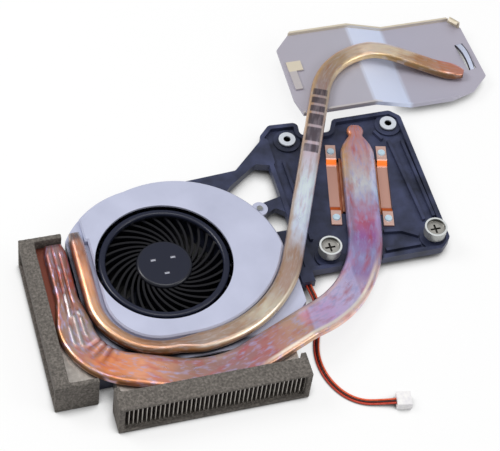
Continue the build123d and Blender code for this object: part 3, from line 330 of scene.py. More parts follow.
for name, dark, light, metallic, roughness, size, dressed in plainFinishes:
    material, tree, shader, place = startMaterial(name, metallic, roughness)
    speckle = addNode(tree, "TexNoise", {"Vector": place, "Scale": 1 / (size * mm), "Detail": 4.0})
    tone = addNode(tree, "ValToRGB", {"Fac": speckle}, stops=[(0.3, dark), (0.7, light)])
    wear = addNode(tree, "Bump", {"Height": speckle, "Strength": 0.08, "Distance": 0.05 * mm})
    feed(tree, shader, {"Base Color": tone, "Normal": wear})
    dress(material, *dressed)

# Left fins: the same tin, with bare red copper along the outer edge where the solder has run
finFacts = {"bareEdge": (-36.5 * mm, -37.5 * mm), "bareBack": (-27 * mm, -22 * mm)}
material, tree, shader, place = startMaterial("bare_edged_copper_fins", 0.8, 0.4)
spot = addNode(tree, "SeparateXYZ", {"Vector": place})
cloud = addNode(tree, "TexNoise", {"Vector": place, "Scale": 1 / (2.0 * mm), "Detail": 4.0})
tone = addNode(tree, "ValToRGB", {"Fac": cloud}, stops=[(0.3, "#9A948E"), (0.7, "#BCB6B0")])
edge = addNode(tree, "MapRange", {"Value": spot.outputs["X"], **span(*finFacts["bareEdge"])})
back = addNode(tree, "MapRange", {"Value": spot.outputs["Y"], **span(*finFacts["bareBack"])})
bare = addNode(tree, "Math", {0: edge, 1: back}, operation="MULTIPLY")
tone = addNode(tree, "Mix", {0: bare, 6: tone, 7: paint("#8E5244")}, data_type="RGBA")
feed(tree, shader, {"Base Color": tone})
dress(material, "left_fin_stack")

# Eyelets: bright tin on the flange's face; down the bore and under the flange, near-black painted shade
eyeletFacts = {"flangeFace": (5.0 * mm, 5.3 * mm)}
material, tree, shader, place = startMaterial("tinned_steel_eyelet", 0.5, 0.3)
spot = addNode(tree, "SeparateXYZ", {"Vector": place})
clearOfBoreShade = addNode(tree, "MapRange", {"Value": spot.outputs["Z"], **span(*eyeletFacts["flangeFace"])})
tone = addNode(tree, "Mix", {0: clearOfBoreShade, 6: paint("#16161A"), 7: paint("#EAF0FA")}, data_type="RGBA")
feed(tree, shader, {"Base Color": tone})
dress(material, "rear_eyelets")

# Captive screws: nickel, with a painted highlight on the head's rim and painted dark shade round the cup's wall and
# in the driver's cross
screwFacts = {"middle": (75.8 * mm, -4.4 * mm, 0), "apart": (19 * mm, 0, 0), "cup": (3.3 * mm, 3.2 * mm),
              "head": (8.8 * mm, 10.8 * mm)}
material, tree, shader, place = startMaterial("nickel_plated_screw", 0.6, 0.28)
spot = addNode(tree, "SeparateXYZ", {"Vector": place})
# One screw lies to each side of the middle, so one fold of the plan gives the distance from either axis
plan = addNode(tree, "VectorMath", {0: place, 1: screwFacts["middle"]}, operation="SUBTRACT")
plan = addNode(tree, "VectorMath", {0: plan}, operation="ABSOLUTE")
plan = addNode(tree, "VectorMath", {0: plan, 1: screwFacts["apart"]}, operation="SUBTRACT")
plan = addNode(tree, "VectorMath", {0: plan, 1: (1, 1, 0)}, operation="MULTIPLY")
away = addNode(tree, "VectorMath", {0: plan}, operation="LENGTH")
inside = addNode(tree, "MapRange", {"Value": away, **span(*screwFacts["cup"])})
height = addNode(tree, "MapRange", {"Value": spot.outputs["Z"], **span(*screwFacts["head"])})
# Painted highlight: the head's rim turns near white at its top
outer = addNode(tree, "ValToRGB", {"Fac": height}, stops=[(0.9, "#A8AAA8"), (0.97, "#F4F8F8")])
# Painted shade inside the cup, above and below a lighter band
cup = addNode(tree, "ValToRGB", {"Fac": height},
              stops=[(0.3, "#302E2A"), (0.33, "#BCBAB4"), (0.38, "#BCBAB4"), (0.42, "#4C4C4A")])
tone = addNode(tree, "Mix", {0: inside, 6: outer, 7: cup}, data_type="RGBA")
feed(tree, shader, {"Base Color": tone})
dress(material, "captive_screw_left", "captive_screw_right")

# Spring strips: rolled copper, salmon on the flats and bright orange where the joggles were pressed
stripFacts = {"joggle": (2.9 * mm, 4.4 * mm)}
material, tree, shader, place = startMaterial("pressed_spring_copper", 0.75, 0.36)
spot = addNode(tree, "SeparateXYZ", {"Vector": place})
lift = addNode(tree, "MapRange", {"Value": spot.outputs["Z"], **span(*stripFacts["joggle"])})
tone = addNode(tree, "ValToRGB", {"Fac": lift},
               stops=[(0.0, "#E8C0B4"), (0.12, "#DCA08C"), (0.3, "#F07428"), (0.75, "#EC7830"), (0.92, "#E8C0B4")])
rolled = addNode(tree, "TexNoise", {"Vector": place, "Scale": 1 / (2.0 * mm), "Detail": 4.0})
wear = addNode(tree, "Bump", {"Height": rolled, "Strength": 0.1, "Distance": 0.05 * mm})
feed(tree, shader, {"Base Color": tone, "Normal": wear})
dress(material, "left_spring_strip", "right_spring_strip")

# Chipset plate: rolled aluminium sheet, lavender grey; its pressed slope painted a paler blue as a painted highlight
# where the slope faces the light; folds and boss cream
plateFacts = {"length": (63 * mm, 139 * mm), "raised": (9.7 * mm, 10.0 * mm), "fold": (90.5 * mm, 90.9 * mm),
              "boss": (72.8 * mm, 73.2 * mm)}
material, tree, shader, place = startMaterial("rolled_aluminium_plate", 0.3, 0.4)
spot = addNode(tree, "SeparateXYZ", {"Vector": place})
ahead = addNode(tree, "MapRange", {"Value": spot.outputs["X"], **span(*plateFacts["length"])})
# The paler blue stops across the slope are the painted highlight
tone = addNode(tree, "ValToRGB", {"Fac": ahead},
               stops=[(0.0, "#B2AEBA"), (0.37, "#B6B4C0"), (0.39, "#E0E8FF"), (0.56, "#DCE6FF"), (0.58, "#B4B2C2"),
                      (1.0, "#B8B4C2")])
raised = addNode(tree, "MapRange", {"Value": spot.outputs["Z"], **span(*plateFacts["raised"])})
folded = addNode(tree, "MapRange", {"Value": spot.outputs["Y"], **span(*plateFacts["fold"])})
bossed = addNode(tree, "MapRange", {"Value": spot.outputs["Y"], **span(*plateFacts["boss"]), "To Min": 0.3})
raised = addNode(tree, "Math", {0: raised, 1: bossed}, operation="MULTIPLY")
worked = addNode(tree, "Math", {0: raised, 1: folded}, operation="MAXIMUM")
tone = addNode(tree, "Mix", {0: worked, 6: tone, 7: paint("#DCD2BE")}, data_type="RGBA")
mill = addNode(tree, "TexNoise", {"Vector": place, "Scale": 1 / (5.0 * mm), "Detail": 5.0})
dull = addNode(tree, "MapRange", {"Value": mill, "To Min": 0.3, "To Max": 0.5})
feed(tree, shader, {"Base Color": tone, "Roughness": dull})
dress(material, "chipset_plate")
print("plain finishes set")

# Tabs of the chipset plate: the lanced louvre that bridges its slot, and the hook bent up at its back corner
louvreFacts = {"name": "plate_louvre", "start": (133.32, 78.6, 4.1), "pull": (133.92, 72.4, 7.1),
               "end": (134.46, 66.15, 4.1), "across": (0.9955, 0.0945, 0.0), "widths": (2.9, 2.0), "thick": 0.7,
               "rows": 25}
hookFacts = {"name": "plate_hook", "start": (134.6, 88.4, 4.53), "pull": (135.1, 88.8, 8.8),
             "end": (133.4, 87.4, 7.0), "across": (0.637, -0.771, 0.0), "widths": (5.0, 3.6), "thick": 0.6,
             "rows": 25}


def makeTab(facts, material):
    # Middle line: the parabola from start to end, drawn towards pull; the sheet is laid flat across it
    share = np.linspace(0, 1, facts["rows"])[:, None]
    start, pull, end, across = (np.array(facts[key]) for key in ("start", "pull", "end", "across"))
    line = (1 - share) ** 2 * start + 2 * share * (1 - share) * pull + share ** 2 * end
    ahead = np.gradient(line, axis=0)
    square = np.cross(ahead, across)
    square /= np.linalg.norm(square, axis=1, keepdims=True)
    half = np.interp(share, [0, 1], facts["widths"])[:, None] / 2
    sides, levels = np.array([-1.0, 1.0, 1.0, -1.0]), np.array([-1.0, -1.0, 1.0, 1.0])
    corners = line[:, None] + half * sides[:, None] * across \
        + facts["thick"] / 2 * levels[:, None] * square[:, None]
    faces = tubeFaces(facts["rows"], len(sides))
    marks = {"edgeTab": np.tile(sides, facts["rows"])}
    piece = addPiece(facts["name"], corners.reshape(-1, 3), faces, "cooler", None, material, marks)
    splitCreases(piece)


# Lanced aluminium: a pale blue-grey face that is a painted highlight, between long edges that are painted shade for
# the gaps beside the leaf
material, tree, shader, _ = startMaterial("lanced_aluminium", 0.3, 0.35)
edgeMark = addNode(tree, "Attribute", {}, attribute_name="edgeTab").outputs["Fac"]
aside = addNode(tree, "Math", {0: edgeMark}, operation="ABSOLUTE")
edgeShade = addNode(tree, "MapRange", {"Value": aside, **span(0.66, 0.8)})
tone = addNode(tree, "Mix", {0: edgeShade, 6: paint("#CCD4EA"), 7: paint("#38343C")}, data_type="RGBA")
feed(tree, shader, {"Base Color": tone})
makeTab(louvreFacts, material)
makeTab(hookFacts, bpy.data.materials["bare_folded_sheet"])
print("tabs bent")

# Screw springs: round steel wire wound under each captive screw's head, which presses it flat as the screw goes down;
# the coil is drawn at one fixed length
springFacts = {"centres": {"left": (56.8, -4.4), "right": (94.8, -4.4)}, "wire": 0.5, "radius": 2.3, "turns": 3.5,
               "low": 4.9, "rise": 2.8, "seat": 4.6, "pressedShare": 0.54, "steps": 170, "sides": 12}


def makeSprings(facts, material):
    # Centre line: a circle of the coil's radius that climbs evenly; the wire's round section stands across it
    turn = np.linspace(0, 2 * np.pi * facts["turns"], facts["steps"])
    around = np.linspace(0, 2 * np.pi, facts["sides"], endpoint=False)
    slope = facts["rise"] / (2 * np.pi * facts["turns"] * facts["radius"])
    out = np.stack([np.cos(turn), np.sin(turn), 0 * turn], -1)
    ahead = np.stack([-np.sin(turn), np.cos(turn), 0 * turn + slope], -1) / np.hypot(1, slope)
    upward = np.cross(out, ahead)
    climb = np.stack([0 * turn, 0 * turn, facts["low"] + facts["rise"] * turn / turn[-1]], -1)
    section = np.cos(around)[:, None] * out[:, None] + np.sin(around)[:, None] * upward[:, None]
    coil = ((facts["radius"] * out + climb)[:, None] + facts["wire"] / 2 * section).reshape(-1, 3)
    faces = tubeFaces(facts["steps"], facts["sides"])
    for side, centre in facts["centres"].items():
        piece = addPiece(f"coil_spring_{side}", coil + np.array([*centre, 0.0]), faces, "cooler",
                         f"screw_spring_{side}", material)
        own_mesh(piece)


makeSprings(springFacts, bpy.data.materials["spring_steel"])
print("springs wound")

# Impeller: hub with three sunk dashes, swept blades, and the shroud ring on top of them
impellerFacts = {"blades": 31, "lean": 44.0, "root": 9.15, "tip": 25.2, "step": 22.2, "thick": 0.75, "bottom": 2.6,
                 "top": 9.5, "tipTop": 8.0, "hub": 9.45, "hubTop": 10.6, "hubRound": 1.1, "cup": (8.55, 9.7),
                 "boss": (2.2, 8.4), "shaftHole": (1.02, 10.0), "ring": (19.6, 21.8), "ringTop": 11.5,
                 "ringRound": 0.8, "dash": (1.6, 0.7, 0.2), "dashRadius": 3.9, "dashTurns": (30, 150, 270),
                 "dashSlope": 0.12, "around": 240, "faceRings": 70, "roundSteps": 9, "bladeRows": (22, 6),
                 "shadeHeights": (9.6 * mm, 11.5 * mm)}


def turned(profile, around):
    # Profile points (radius, height) carried round the Z axis
    angle = np.linspace(0, 2 * np.pi, around, endpoint=False)
    radius, height = np.array(profile, float).T
    points = np.stack([radius[:, None] * np.cos(angle), radius[:, None] * np.sin(angle),
                       np.broadcast_to(height[:, None], (len(radius), around))], -1)
    return points.reshape(-1, 3), gridFaces(len(radius), around)


def makeImpeller(facts, material):
    quarter = np.linspace(0, np.pi / 2, facts["roundSteps"])
    hub, hubTop, soft, bottom = facts["hub"], facts["hubTop"], facts["hubRound"], facts["bottom"]
    cup, boss, hole = facts["cup"], facts["boss"], facts["shaftHole"]
    face = np.column_stack([np.linspace(0, hub - soft, facts["faceRings"]), np.full(facts["faceRings"], hubTop)])
    edge = np.column_stack([hub - soft + soft * np.sin(quarter), hubTop - soft + soft * np.cos(quarter)])
    inside = [(hub, bottom), (cup[0], bottom), cup, (boss[0], cup[1]), boss, (hole[0], boss[1]), hole, (0, hole[1])]
    hubPoints, hubFaces = turned(np.concatenate([face, edge, inside]), facts["around"])
    # Three dashes sunk in the hub's face: a flat floor with steep ends and sides
    length, width, depth = facts["dash"]
    dashed = np.zeros(len(hubPoints))
    for turn in np.radians(facts["dashTurns"]):
        offX = length / 2 - np.abs(hubPoints[:, 0] - facts["dashRadius"] * np.cos(turn))
        offY = width / 2 - np.abs(hubPoints[:, 1] - facts["dashRadius"] * np.sin(turn))
        sunk = np.clip(np.minimum(offX, offY) / facts["dashSlope"] + 0.5, 0, 1)
        dashed += sunk * (hubPoints[:, 2] > hubTop - 0.01)
    hubPoints[:, 2] -= depth * dashed
    # Ring: flat underside on the blades, rounded top edges
    low, high = facts["ring"]
    soft, top = facts["ringRound"], facts["ringTop"]
    outerEdge = np.column_stack([high - soft + soft * np.cos(quarter), top - soft + soft * np.sin(quarter)])
    innerEdge = np.column_stack([low + soft - soft * np.sin(quarter), top - soft + soft * np.cos(quarter)])
    ring = np.concatenate([[(low, facts["top"]), (high, facts["top"])], outerEdge, innerEdge, [(low, facts["top"])]])
    ringPoints, ringFaces = turned(ring, facts["around"])
    # Blades: angle = tan(lean) * ln(radius / hub), half the thickness to each side, lower past the step
    inner, outer = facts["bladeRows"]
    radius = np.concatenate([np.linspace(facts["root"], facts["step"], inner),
                             np.linspace(facts["step"], facts["tip"], outer)])
    roof = np.repeat([facts["top"], facts["tipTop"]], [inner, outer])
    angle = np.tan(np.radians(facts["lean"])) * np.log(radius / hub)
    heading = angle + np.radians(facts["lean"])
    side = np.stack([-np.sin(heading), np.cos(heading)], -1) * facts["thick"] / 2
    middle = radius[:, None] * np.stack([np.cos(angle), np.sin(angle)], -1)
    flat = np.stack([middle - side, middle + side, middle + side, middle - side], 1)
    floor = np.full(inner + outer, bottom)
    blade = np.concatenate([flat, np.stack([floor, floor, roof, roof], 1)[..., None]], -1)
    turns = np.linspace(0, 2 * np.pi, facts["blades"], endpoint=False)
    spin = np.zeros((facts["blades"], 3, 3))
    spin[:, 0, 0] = spin[:, 1, 1] = np.cos(turns)
    spin[:, 1, 0], spin[:, 0, 1], spin[:, 2, 2] = np.sin(turns), -np.sin(turns), 1
    blades = np.einsum("bij,rcj->brci", spin, blade).reshape(-1, 3)
    one = np.array(tubeFaces(inner + outer, 4))
    first = np.arange(facts["blades"])[:, None, None] * (inner + outer) * 4
    bladeFaces = (one + first).reshape(-1, 4)
    points = np.concatenate([hubPoints, ringPoints, blades])
    faces = np.concatenate([hubFaces, ringFaces + len(hubPoints), bladeFaces + len(hubPoints) + len(ringPoints)])
    marks = {"dashMark": np.concatenate([dashed, np.zeros(len(ringPoints) + len(blades))])}
    piece = addPiece("impeller_moulding", points, faces, "rotor", "impeller", material, marks)
    splitCreases(piece)


# Moulded PBT: near black; darker low down between the blades as painted shade, a little lighter and bluer on the
# hub's face and the ring as a painted sheen
material, tree, shader, place = startMaterial("moulded_black_pbt", 0.0, 0.24)
spot = addNode(tree, "SeparateXYZ", {"Vector": place})
height = addNode(tree, "MapRange", {"Value": spot.outputs["Z"], **span(*impellerFacts["shadeHeights"])})
tone = addNode(tree, "ValToRGB", {"Fac": height},
               stops=[(0.0, "#0C0C12"), (0.5, "#20222C"), (0.54, "#1C2032"), (1.0, "#1C2032")])
dashMark = addNode(tree, "Attribute", {}, attribute_name="dashMark").outputs["Fac"]
tone = addNode(tree, "Mix", {0: dashMark, 6: tone, 7: paint("#A4A6B2")}, data_type="RGBA")
skin = addNode(tree, "TexNoise", {"Vector": place, "Scale": 1 / (0.5 * mm), "Detail": 3.0})
fine = addNode(tree, "Bump", {"Height": skin, "Strength": 0.08, "Distance": 0.05 * mm})
feed(tree, shader, {"Base Color": tone, "Normal": fine, "Specular IOR Level": 0.4})
makeImpeller(impellerFacts, material)
print("impeller made")


def roundedRoute(corners, radii, step, arcSteps=60):
    # Straight runs joined by arcs that touch both, then even steps along the whole line
    corners = np.array(corners, float)
    pieces = [corners[:1]]
    for before, here, after, radius in zip(corners, corners[1:], corners[2:], radii):
        back = (before - here) / np.linalg.norm(before - here)
        onward = (after - here) / np.linalg.norm(after - here)
        half = np.arccos(np.clip(back @ onward, -1, 1)) / 2
        middle = here + (back + onward) / np.linalg.norm(back + onward) * radius / np.sin(half)
        start = here + back * radius / np.tan(half) - middle
        turn = np.sign(back[1] * onward[0] - back[0] * onward[1]) * (np.pi - 2 * half)
        angle = np.arctan2(start[1], start[0]) + turn * np.linspace(0, 1, arcSteps)
        pieces.append(middle + radius * np.column_stack([np.cos(angle), np.sin(angle)]))
    line = np.concatenate([*pieces, corners[-1:]])
    run = np.concatenate([[0], np.cumsum(np.linalg.norm(np.diff(line, axis=0), axis=1))])
    along = np.linspace(0, run[-1], round(run[-1] / step) + 1)
    return along, np.column_stack([np.interp(along, run, line[:, k]) for k in (0, 1)])


def makePipe(facts, material):
    # Section: two flats joined by half rounds, carried along the route; each point drops with its own X
    along, route = roundedRoute(facts["corners"], facts["radii"], facts["step"])
    heading = np.gradient(route, axis=0)
    heading /= np.linalg.norm(heading, axis=1, keepdims=True)
    left = np.column_stack([-heading[:, 1], heading[:, 0]])
    # Near the far end a place is counted back from it, so it is negative there
    fromEnd = along[-1] - along
    place = np.where(fromEnd < facts["endReach"], np.minimum(-fromEnd, facts["endPlace"]), along)
    half, thick, middle, shift = (np.interp(place, *np.array(facts[key], float).T) for key in
                                  ("width", "thick", "middle", "shift"))
    half, thick = half / 2, np.minimum(thick, half) / 2
    bend = np.linspace(-np.pi / 2, np.pi / 2, facts["bendSteps"])
    flat = np.linspace(1, -1, facts["flatSteps"])[1:-1]
    straight = np.concatenate([np.ones_like(bend), flat, -np.ones_like(bend), -flat])
    roundX = np.concatenate([np.cos(bend), 0 * flat, -np.cos(bend), 0 * flat])
    roundZ = np.concatenate([np.sin(bend), 0 * flat + 1, -np.sin(bend), 0 * flat - 1])
    onTop = roundZ > facts["topFrom"]
    across = (half - thick)[:, None] * straight + thick[:, None] * roundX
    share = across / np.maximum(half[:, None], 1e-6)
    flatSpot = route[:, None, :] + left[:, None, :] * (across + shift[:, None])[..., None]
    (low, high), soft = facts["creases"], facts["creaseSoft"]
    drop = np.interp(flatSpot[..., 0], [low - soft, low + soft, high - soft, high + soft],
                     np.array([0, soft, high - low - soft, high - low]) / (high - low)) * facts["drop"]
    height = middle[:, None] + thick[:, None] * roundZ - drop
    # Wrinkles: short dips across the top on the inner side of the tight bend
    near, far, pitch, depth = facts["wrinkles"]
    fade = facts["dentFade"]
    window = np.clip((along - near) / fade, 0, 1) * np.clip((far - along) / fade, 0, 1)
    fold = (window * (0.5 - 0.5 * np.cos(2 * np.pi * along / pitch)) ** 2)[:, None] * np.clip(share + 0.35, 0, 1)
    height = height - depth * fold * onTop
    # Furrows: lengthwise dents in the top, V-shaped across, fading in and out along the pipe
    for at, reach, start, end, deep in facts["furrows"]:
        run = np.clip((along - start) / fade, 0, 1) * np.clip((end - along) / (2 * fade), 0, 1)
        furrow = run[:, None] * np.clip(1 - np.abs(share - at) / reach, 0, 1) * onTop
        height = height - deep * furrow
        fold = np.maximum(fold, furrow)
    # Solder: silver smears on the top, thickest along short lines and gone at each one's reach
    smear = np.zeros_like(share)
    for startX, startY, endX, endY, reach in facts["solder"]:
        first, run = np.array([startX, startY]), np.array([endX - startX, endY - startY])
        part = np.clip((flatSpot - first) @ run / (run @ run), 0, 1)
        away = np.linalg.norm(flatSpot - first - part[..., None] * run, axis=-1)
        smear = np.maximum(smear, np.clip(1 - away / reach, 0, 1) * onTop)
    height = height + facts["solderHeight"] * smear
    points = np.concatenate([flatSpot, height[..., None]], -1).reshape(-1, 3)
    columns = len(straight)
    faces = tubeFaces(len(along), columns)
    marks = {"alongPipe": np.repeat(along, columns), "acrossPipe": share.ravel(), "foldPipe": fold.ravel(),
             "solderPipe": smear.ravel()}
    addPiece(facts["name"], points, faces, "cooler", facts["node"], material, marks)


def pipeMaterial(facts):
    # Heat tint drawn along the pipe in three lanes: outer edge, middle and inner edge, broken up by long streaks. The
    # lanes also carry painted highlights, most of all the outer lane along the rounded shoulder
    material, tree, shader, place = startMaterial(facts["finish"], facts["metallic"], 0.3)
    alongMark, acrossMark, foldMark, solderMark = (
        addNode(tree, "Attribute", {}, attribute_name=mark).outputs["Fac"]
        for mark in ("alongPipe", "acrossPipe", "foldPipe", "solderPipe"))
    cloud = addNode(tree, "TexNoise", {"Vector": place, "Scale": 1 / (5 * mm), "Detail": 4.0})
    most = facts["wander"]
    wander = addNode(tree, "MapRange", {"Value": cloud, "To Min": -most, "To Max": most})
    moved = addNode(tree, "Math", {0: alongMark, 1: wander}, operation="ADD")
    share = addNode(tree, "MapRange", {"Value": moved, **span(0.0, facts["tintLength"])})
    lanes = [addNode(tree, "ValToRGB", {"Fac": share},
                     stops=[(spot / facts["tintLength"], code) for spot, code in facts[lane]])
             for lane in ("outerTintAndHighlight", "middleTint", "innerTint")]
    # Streaks: noise laid out in millimetres along the pipe and shares across it, so it stretches lengthwise
    layX = addNode(tree, "Math", {0: alongMark, 1: facts["streaks"][0]}, operation="MULTIPLY")
    layY = addNode(tree, "Math", {0: acrossMark, 1: facts["streaks"][1]}, operation="MULTIPLY")
    lay = addNode(tree, "CombineXYZ", {"X": layX, "Y": layY})
    sway = addNode(tree, "TexNoise", {"Vector": lay, "Scale": 1.0, "Detail": 4.0})
    spread = addNode(tree, "TexNoise", {"Vector": lay, "Scale": 2.3, "Detail": 3.0})
    most = facts["laneSwing"]
    swing = addNode(tree, "MapRange", {"Value": sway, "To Min": -most, "To Max": most})
    lane = addNode(tree, "Math", {0: acrossMark, 1: swing}, operation="ADD")
    outer = addNode(tree, "MapRange", {"Value": lane, **span(*facts["outerLane"])},
                    interpolation_type="SMOOTHSTEP")
    inner = addNode(tree, "MapRange", {"Value": lane, **span(*facts["innerLane"])},
                    interpolation_type="SMOOTHSTEP")
    tone = addNode(tree, "Mix", {0: outer, 6: lanes[1], 7: lanes[0]}, data_type="RGBA")
    tone = addNode(tree, "Mix", {0: inner, 6: tone, 7: lanes[2]}, data_type="RGBA")
    # The sloping run between the creases takes the light its own way, with a clear line at each crease
    spot = addNode(tree, "SeparateXYZ", {"Vector": place})
    (low, high), soft = facts["creases"], facts["creaseLine"]
    slopeCode, slopeMost = facts["slopeTint"]
    begin = addNode(tree, "MapRange", {"Value": spot.outputs["X"], **span((low - soft) * mm, (low + soft) * mm)})
    stop = addNode(tree, "MapRange", {"Value": spot.outputs["X"], **span((high + soft) * mm, (high - soft) * mm),
                                      "To Max": slopeMost})
    sloped = addNode(tree, "Math", {0: begin, 1: stop}, operation="MULTIPLY")
    aside = addNode(tree, "Math", {0: acrossMark}, operation="ABSOLUTE")
    onTop = addNode(tree, "MapRange", {"Value": aside, **span(0.8, 0.68)})
    sloped = addNode(tree, "Math", {0: sloped, 1: onTop}, operation="MULTIPLY")
    tone = addNode(tree, "Mix", {0: sloped, 6: tone, 7: paint(slopeCode)}, data_type="RGBA")
    for noise, (code, most) in ((sway, facts["warm"]), (spread, facts["cool"])):
        stain = addNode(tree, "MapRange", {"Value": noise, **span(0.5, 0.72), "To Max": most})
        tone = addNode(tree, "Mix", {0: stain, 6: tone, 7: paint(code)}, data_type="RGBA")
    # Painted highlight: a bright line along the outer shoulder of the front bend
    (lineAt, lineStart, lineEnd, most), fade = facts["highlightLine"], facts["highlightLineFade"]
    near = addNode(tree, "Math", {0: acrossMark, 1: lineAt}, operation="SUBTRACT")
    near = addNode(tree, "Math", {0: near}, operation="ABSOLUTE")
    line = addNode(tree, "MapRange", {"Value": near, **span(0.13, 0.03), "To Max": most})
    begin = addNode(tree, "MapRange", {"Value": alongMark, **span(lineStart, lineStart + fade)})
    stop = addNode(tree, "MapRange", {"Value": alongMark, **span(lineEnd, lineEnd - fade)})
    line = addNode(tree, "Math", {0: line, 1: begin}, operation="MULTIPLY")
    line = addNode(tree, "Math", {0: line, 1: stop}, operation="MULTIPLY")
    tone = addNode(tree, "Mix", {0: line, 6: tone, 7: paint("#FFF4E4")}, data_type="RGBA")
    # Dents keep a dark tint, and solder lies silver over the rest, ragged where it runs thin
    groove = addNode(tree, "Math", {0: foldMark, 1: 0.75}, operation="MULTIPLY")
    tone = addNode(tree, "Mix", {0: groove, 6: tone, 7: paint(facts["foldTint"])}, data_type="RGBA")
    ragged = addNode(tree, "Math", {0: solderMark, 1: spread}, operation="MULTIPLY")
    silver = addNode(tree, "MapRange", {"Value": ragged, **span(0.12, 0.32), "To Max": 0.8})
    tone = addNode(tree, "Mix", {0: silver, 6: tone, 7: paint("#A2A0A2")}, data_type="RGBA")
    if facts["ink"]:
        # Ink: plain bars printed across the pipe, worn thin in places
        first, last, soft = facts["ink"][0][0], facts["ink"][-1][1], facts["inkEdge"]
        edges = [(spot, code) for start, end in facts["ink"] for spot, code in
                 ((start, "#000000"), (start + soft, "#FFFFFF"), (end - soft, "#FFFFFF"), (end, "#000000"))]
        printed = addNode(tree, "MapRange", {"Value": alongMark, **span(first, last)})
        bars = addNode(tree, "ValToRGB", {"Fac": printed},
                       stops=[((spot - first) / (last - first), code) for spot, code in edges])
        sides = addNode(tree, "MapRange", {"Value": aside, **span(0.78, 0.7), "To Max": 0.85})
        worn = addNode(tree, "MapRange", {"Value": sway, **span(0.3, 0.55), "To Min": 0.6})
        band = addNode(tree, "Math", {0: bars, 1: sides}, operation="MULTIPLY")
        mask = addNode(tree, "Math", {0: band, 1: worn}, operation="MULTIPLY")
        tone = addNode(tree, "Mix", {0: mask, 6: tone, 7: paint("#3A3844")}, data_type="RGBA")
    bright = addNode(tree, "VectorMath", {0: tone, 3: facts["gain"]}, operation="SCALE")
    dull = addNode(tree, "MapRange", {"Value": cloud, "To Min": 0.2, "To Max": 0.44})
    dent = addNode(tree, "Bump", {"Height": sway, "Strength": 0.15, "Distance": 0.15 * mm})
    feed(tree, shader, {"Base Color": bright, "Roughness": dull, "Normal": dent})
    return material


# Heat pipes: copper tubes pressed flat, bent in plan, sloping down between two creases. Tables run from the
# tail's pinched end; negative places count back from the far end
pipeFacts = {"step": 0.55, "drop": 5.0, "bendSteps": 9, "flatSteps": 33, "topFrom": 0.3, "creaseSoft": 0.8,
             "dentFade": 3.0, "solderHeight": 0.2, "metallic": 0.75, "gain": 1.15, "foldTint": "#8E3A1E",
             "wander": 6.0, "streaks": (0.13, 2.4), "laneSwing": 0.3, "outerLane": (-0.5, -0.88),
             "innerLane": (0.35, 0.85), "creaseLine": 0.5, "highlightLineFade": 10.0, "inkEdge": 0.4, "endPlace": -0.001}
wideFacts = {
    **pipeFacts, "name": "wide_pipe", "node": "cpu_heat_pipe", "slot": "pipe_copper",
    "corners": [(-34.6, 13.8), (-34.6, -33.1), (6.5, -47.5), (66.0523, -22.321), (82.2037, 47.6391)],
    "radii": [20.0, 36.0, 48.0], "creases": (41.2, 62.0), "endReach": 20.0,
    "width": [(-13.8, 12.0), (-11.8, 11.7), (-9.4, 10.2), (-7.4, 7.9), (-5.6, 5.5), (-4.9, 5.05), (-4.2, 5.5),
              (-3.1, 6.2), (-2.0, 5.9), (-1.2, 5.0), (-0.6, 3.8), (-0.2, 2.4), (-0.001, 0.8), (0, 5.7), (3.6, 7.6),
              (21.8, 7.6), (32.3, 12.0)],
    "thick": [(-13.8, 2.8), (-9.4, 2.8), (-5.2, 2.3), (-3.1, 2.5), (-1.2, 2.1), (-0.6, 1.6), (-0.2, 0.9),
              (-0.001, 0.4), (0, 1.5), (1.6, 2.8), (3.6, 3.3), (21.8, 3.3), (32.3, 2.8)],
    "middle": [(-20, 11.1), (-0.001, 11.1), (0, 11.35), (21.8, 11.35), (32.3, 11.1)],
    "shift": [(-20, 0), (-0.001, 0), (0, -0.2), (21.8, -0.2), (32.3, 0)], "wrinkles": (40.0, 53.0, 3.4, 0.5),
    "solder": [(-35.4, -7.0, -35.2, -15.4, 0.9), (-33.9, -15.6, -33.7, -26.5, 0.8), (-32.3, -14.1, -32.2, -14.9, 0.8),
               (-35.0, 3.9, -34.9, 2.9, 0.8), (-32.0, -16.5, -31.6, -23.5, 0.6), (-36.2, -19.0, -35.9, -26.0, 0.7)],
    "furrows": [(-0.2, 0.14, 1.0, 31.0, 0.35), (0.3, 0.13, 3.0, 27.0, 0.3)],
    "finish": "heat_tinted_copper_wide", "tintLength": 222.0, "ink": [],
    "warm": ("#B44C50", 0.6), "cool": ("#A4AAD8", 0.6),
    "slopeTint": ("#D2CCFA", 0.6), "highlightLine": (-0.72, 98.0, 160.0, 0.75),
    "outerTintAndHighlight": [(0, "#8A5250"), (16, "#7A564A"), (31, "#96603F"), (42, "#B08A68"), (52, "#A06C44"), (64, "#B87C5A"),
                  (84, "#7A6460"), (104, "#B48A72"), (120, "#D0AC90"), (136, "#F0CCC0"), (153, "#D8C0BC"),
                  (162, "#B890A8"), (176, "#B8A0D4"), (188, "#CCDCFF"), (202, "#E0D0E4"), (222, "#D07644")],
    "middleTint": [(0, "#A88A8A"), (14, "#80584A"), (26, "#94766A"), (40, "#A08A86"), (50, "#D88454"),
                   (62, "#DC9C7C"), (76, "#9C786C"), (92, "#98787A"), (104, "#AC7472"), (118, "#BC9886"),
                   (130, "#D88CC0"), (142, "#D8C4DC"), (152, "#9C80B0"), (160, "#9890BC"), (168, "#A06CA8"),
                   (176, "#B87090"), (184, "#B8ACC8"), (192, "#D0D2D8"), (200, "#CCB2B8"), (210, "#CA969A"),
                   (222, "#D87C48")],
    "innerTint": [(0, "#925446"), (16, "#A45C4A"), (32, "#88806E"), (42, "#BCA8A8"), (54, "#D89C7C"), (72, "#8E7668"),
                  (90, "#A8928A"), (100, "#A07A80"), (118, "#B09480"), (132, "#E4CCD8"), (146, "#E6C4CC"),
                  (154, "#C8ACDC"), (166, "#8A80A6"), (184, "#A08AA2"), (200, "#C4A684"), (222, "#D47844")]}
makePipe(wideFacts, pipeMaterial(wideFacts))

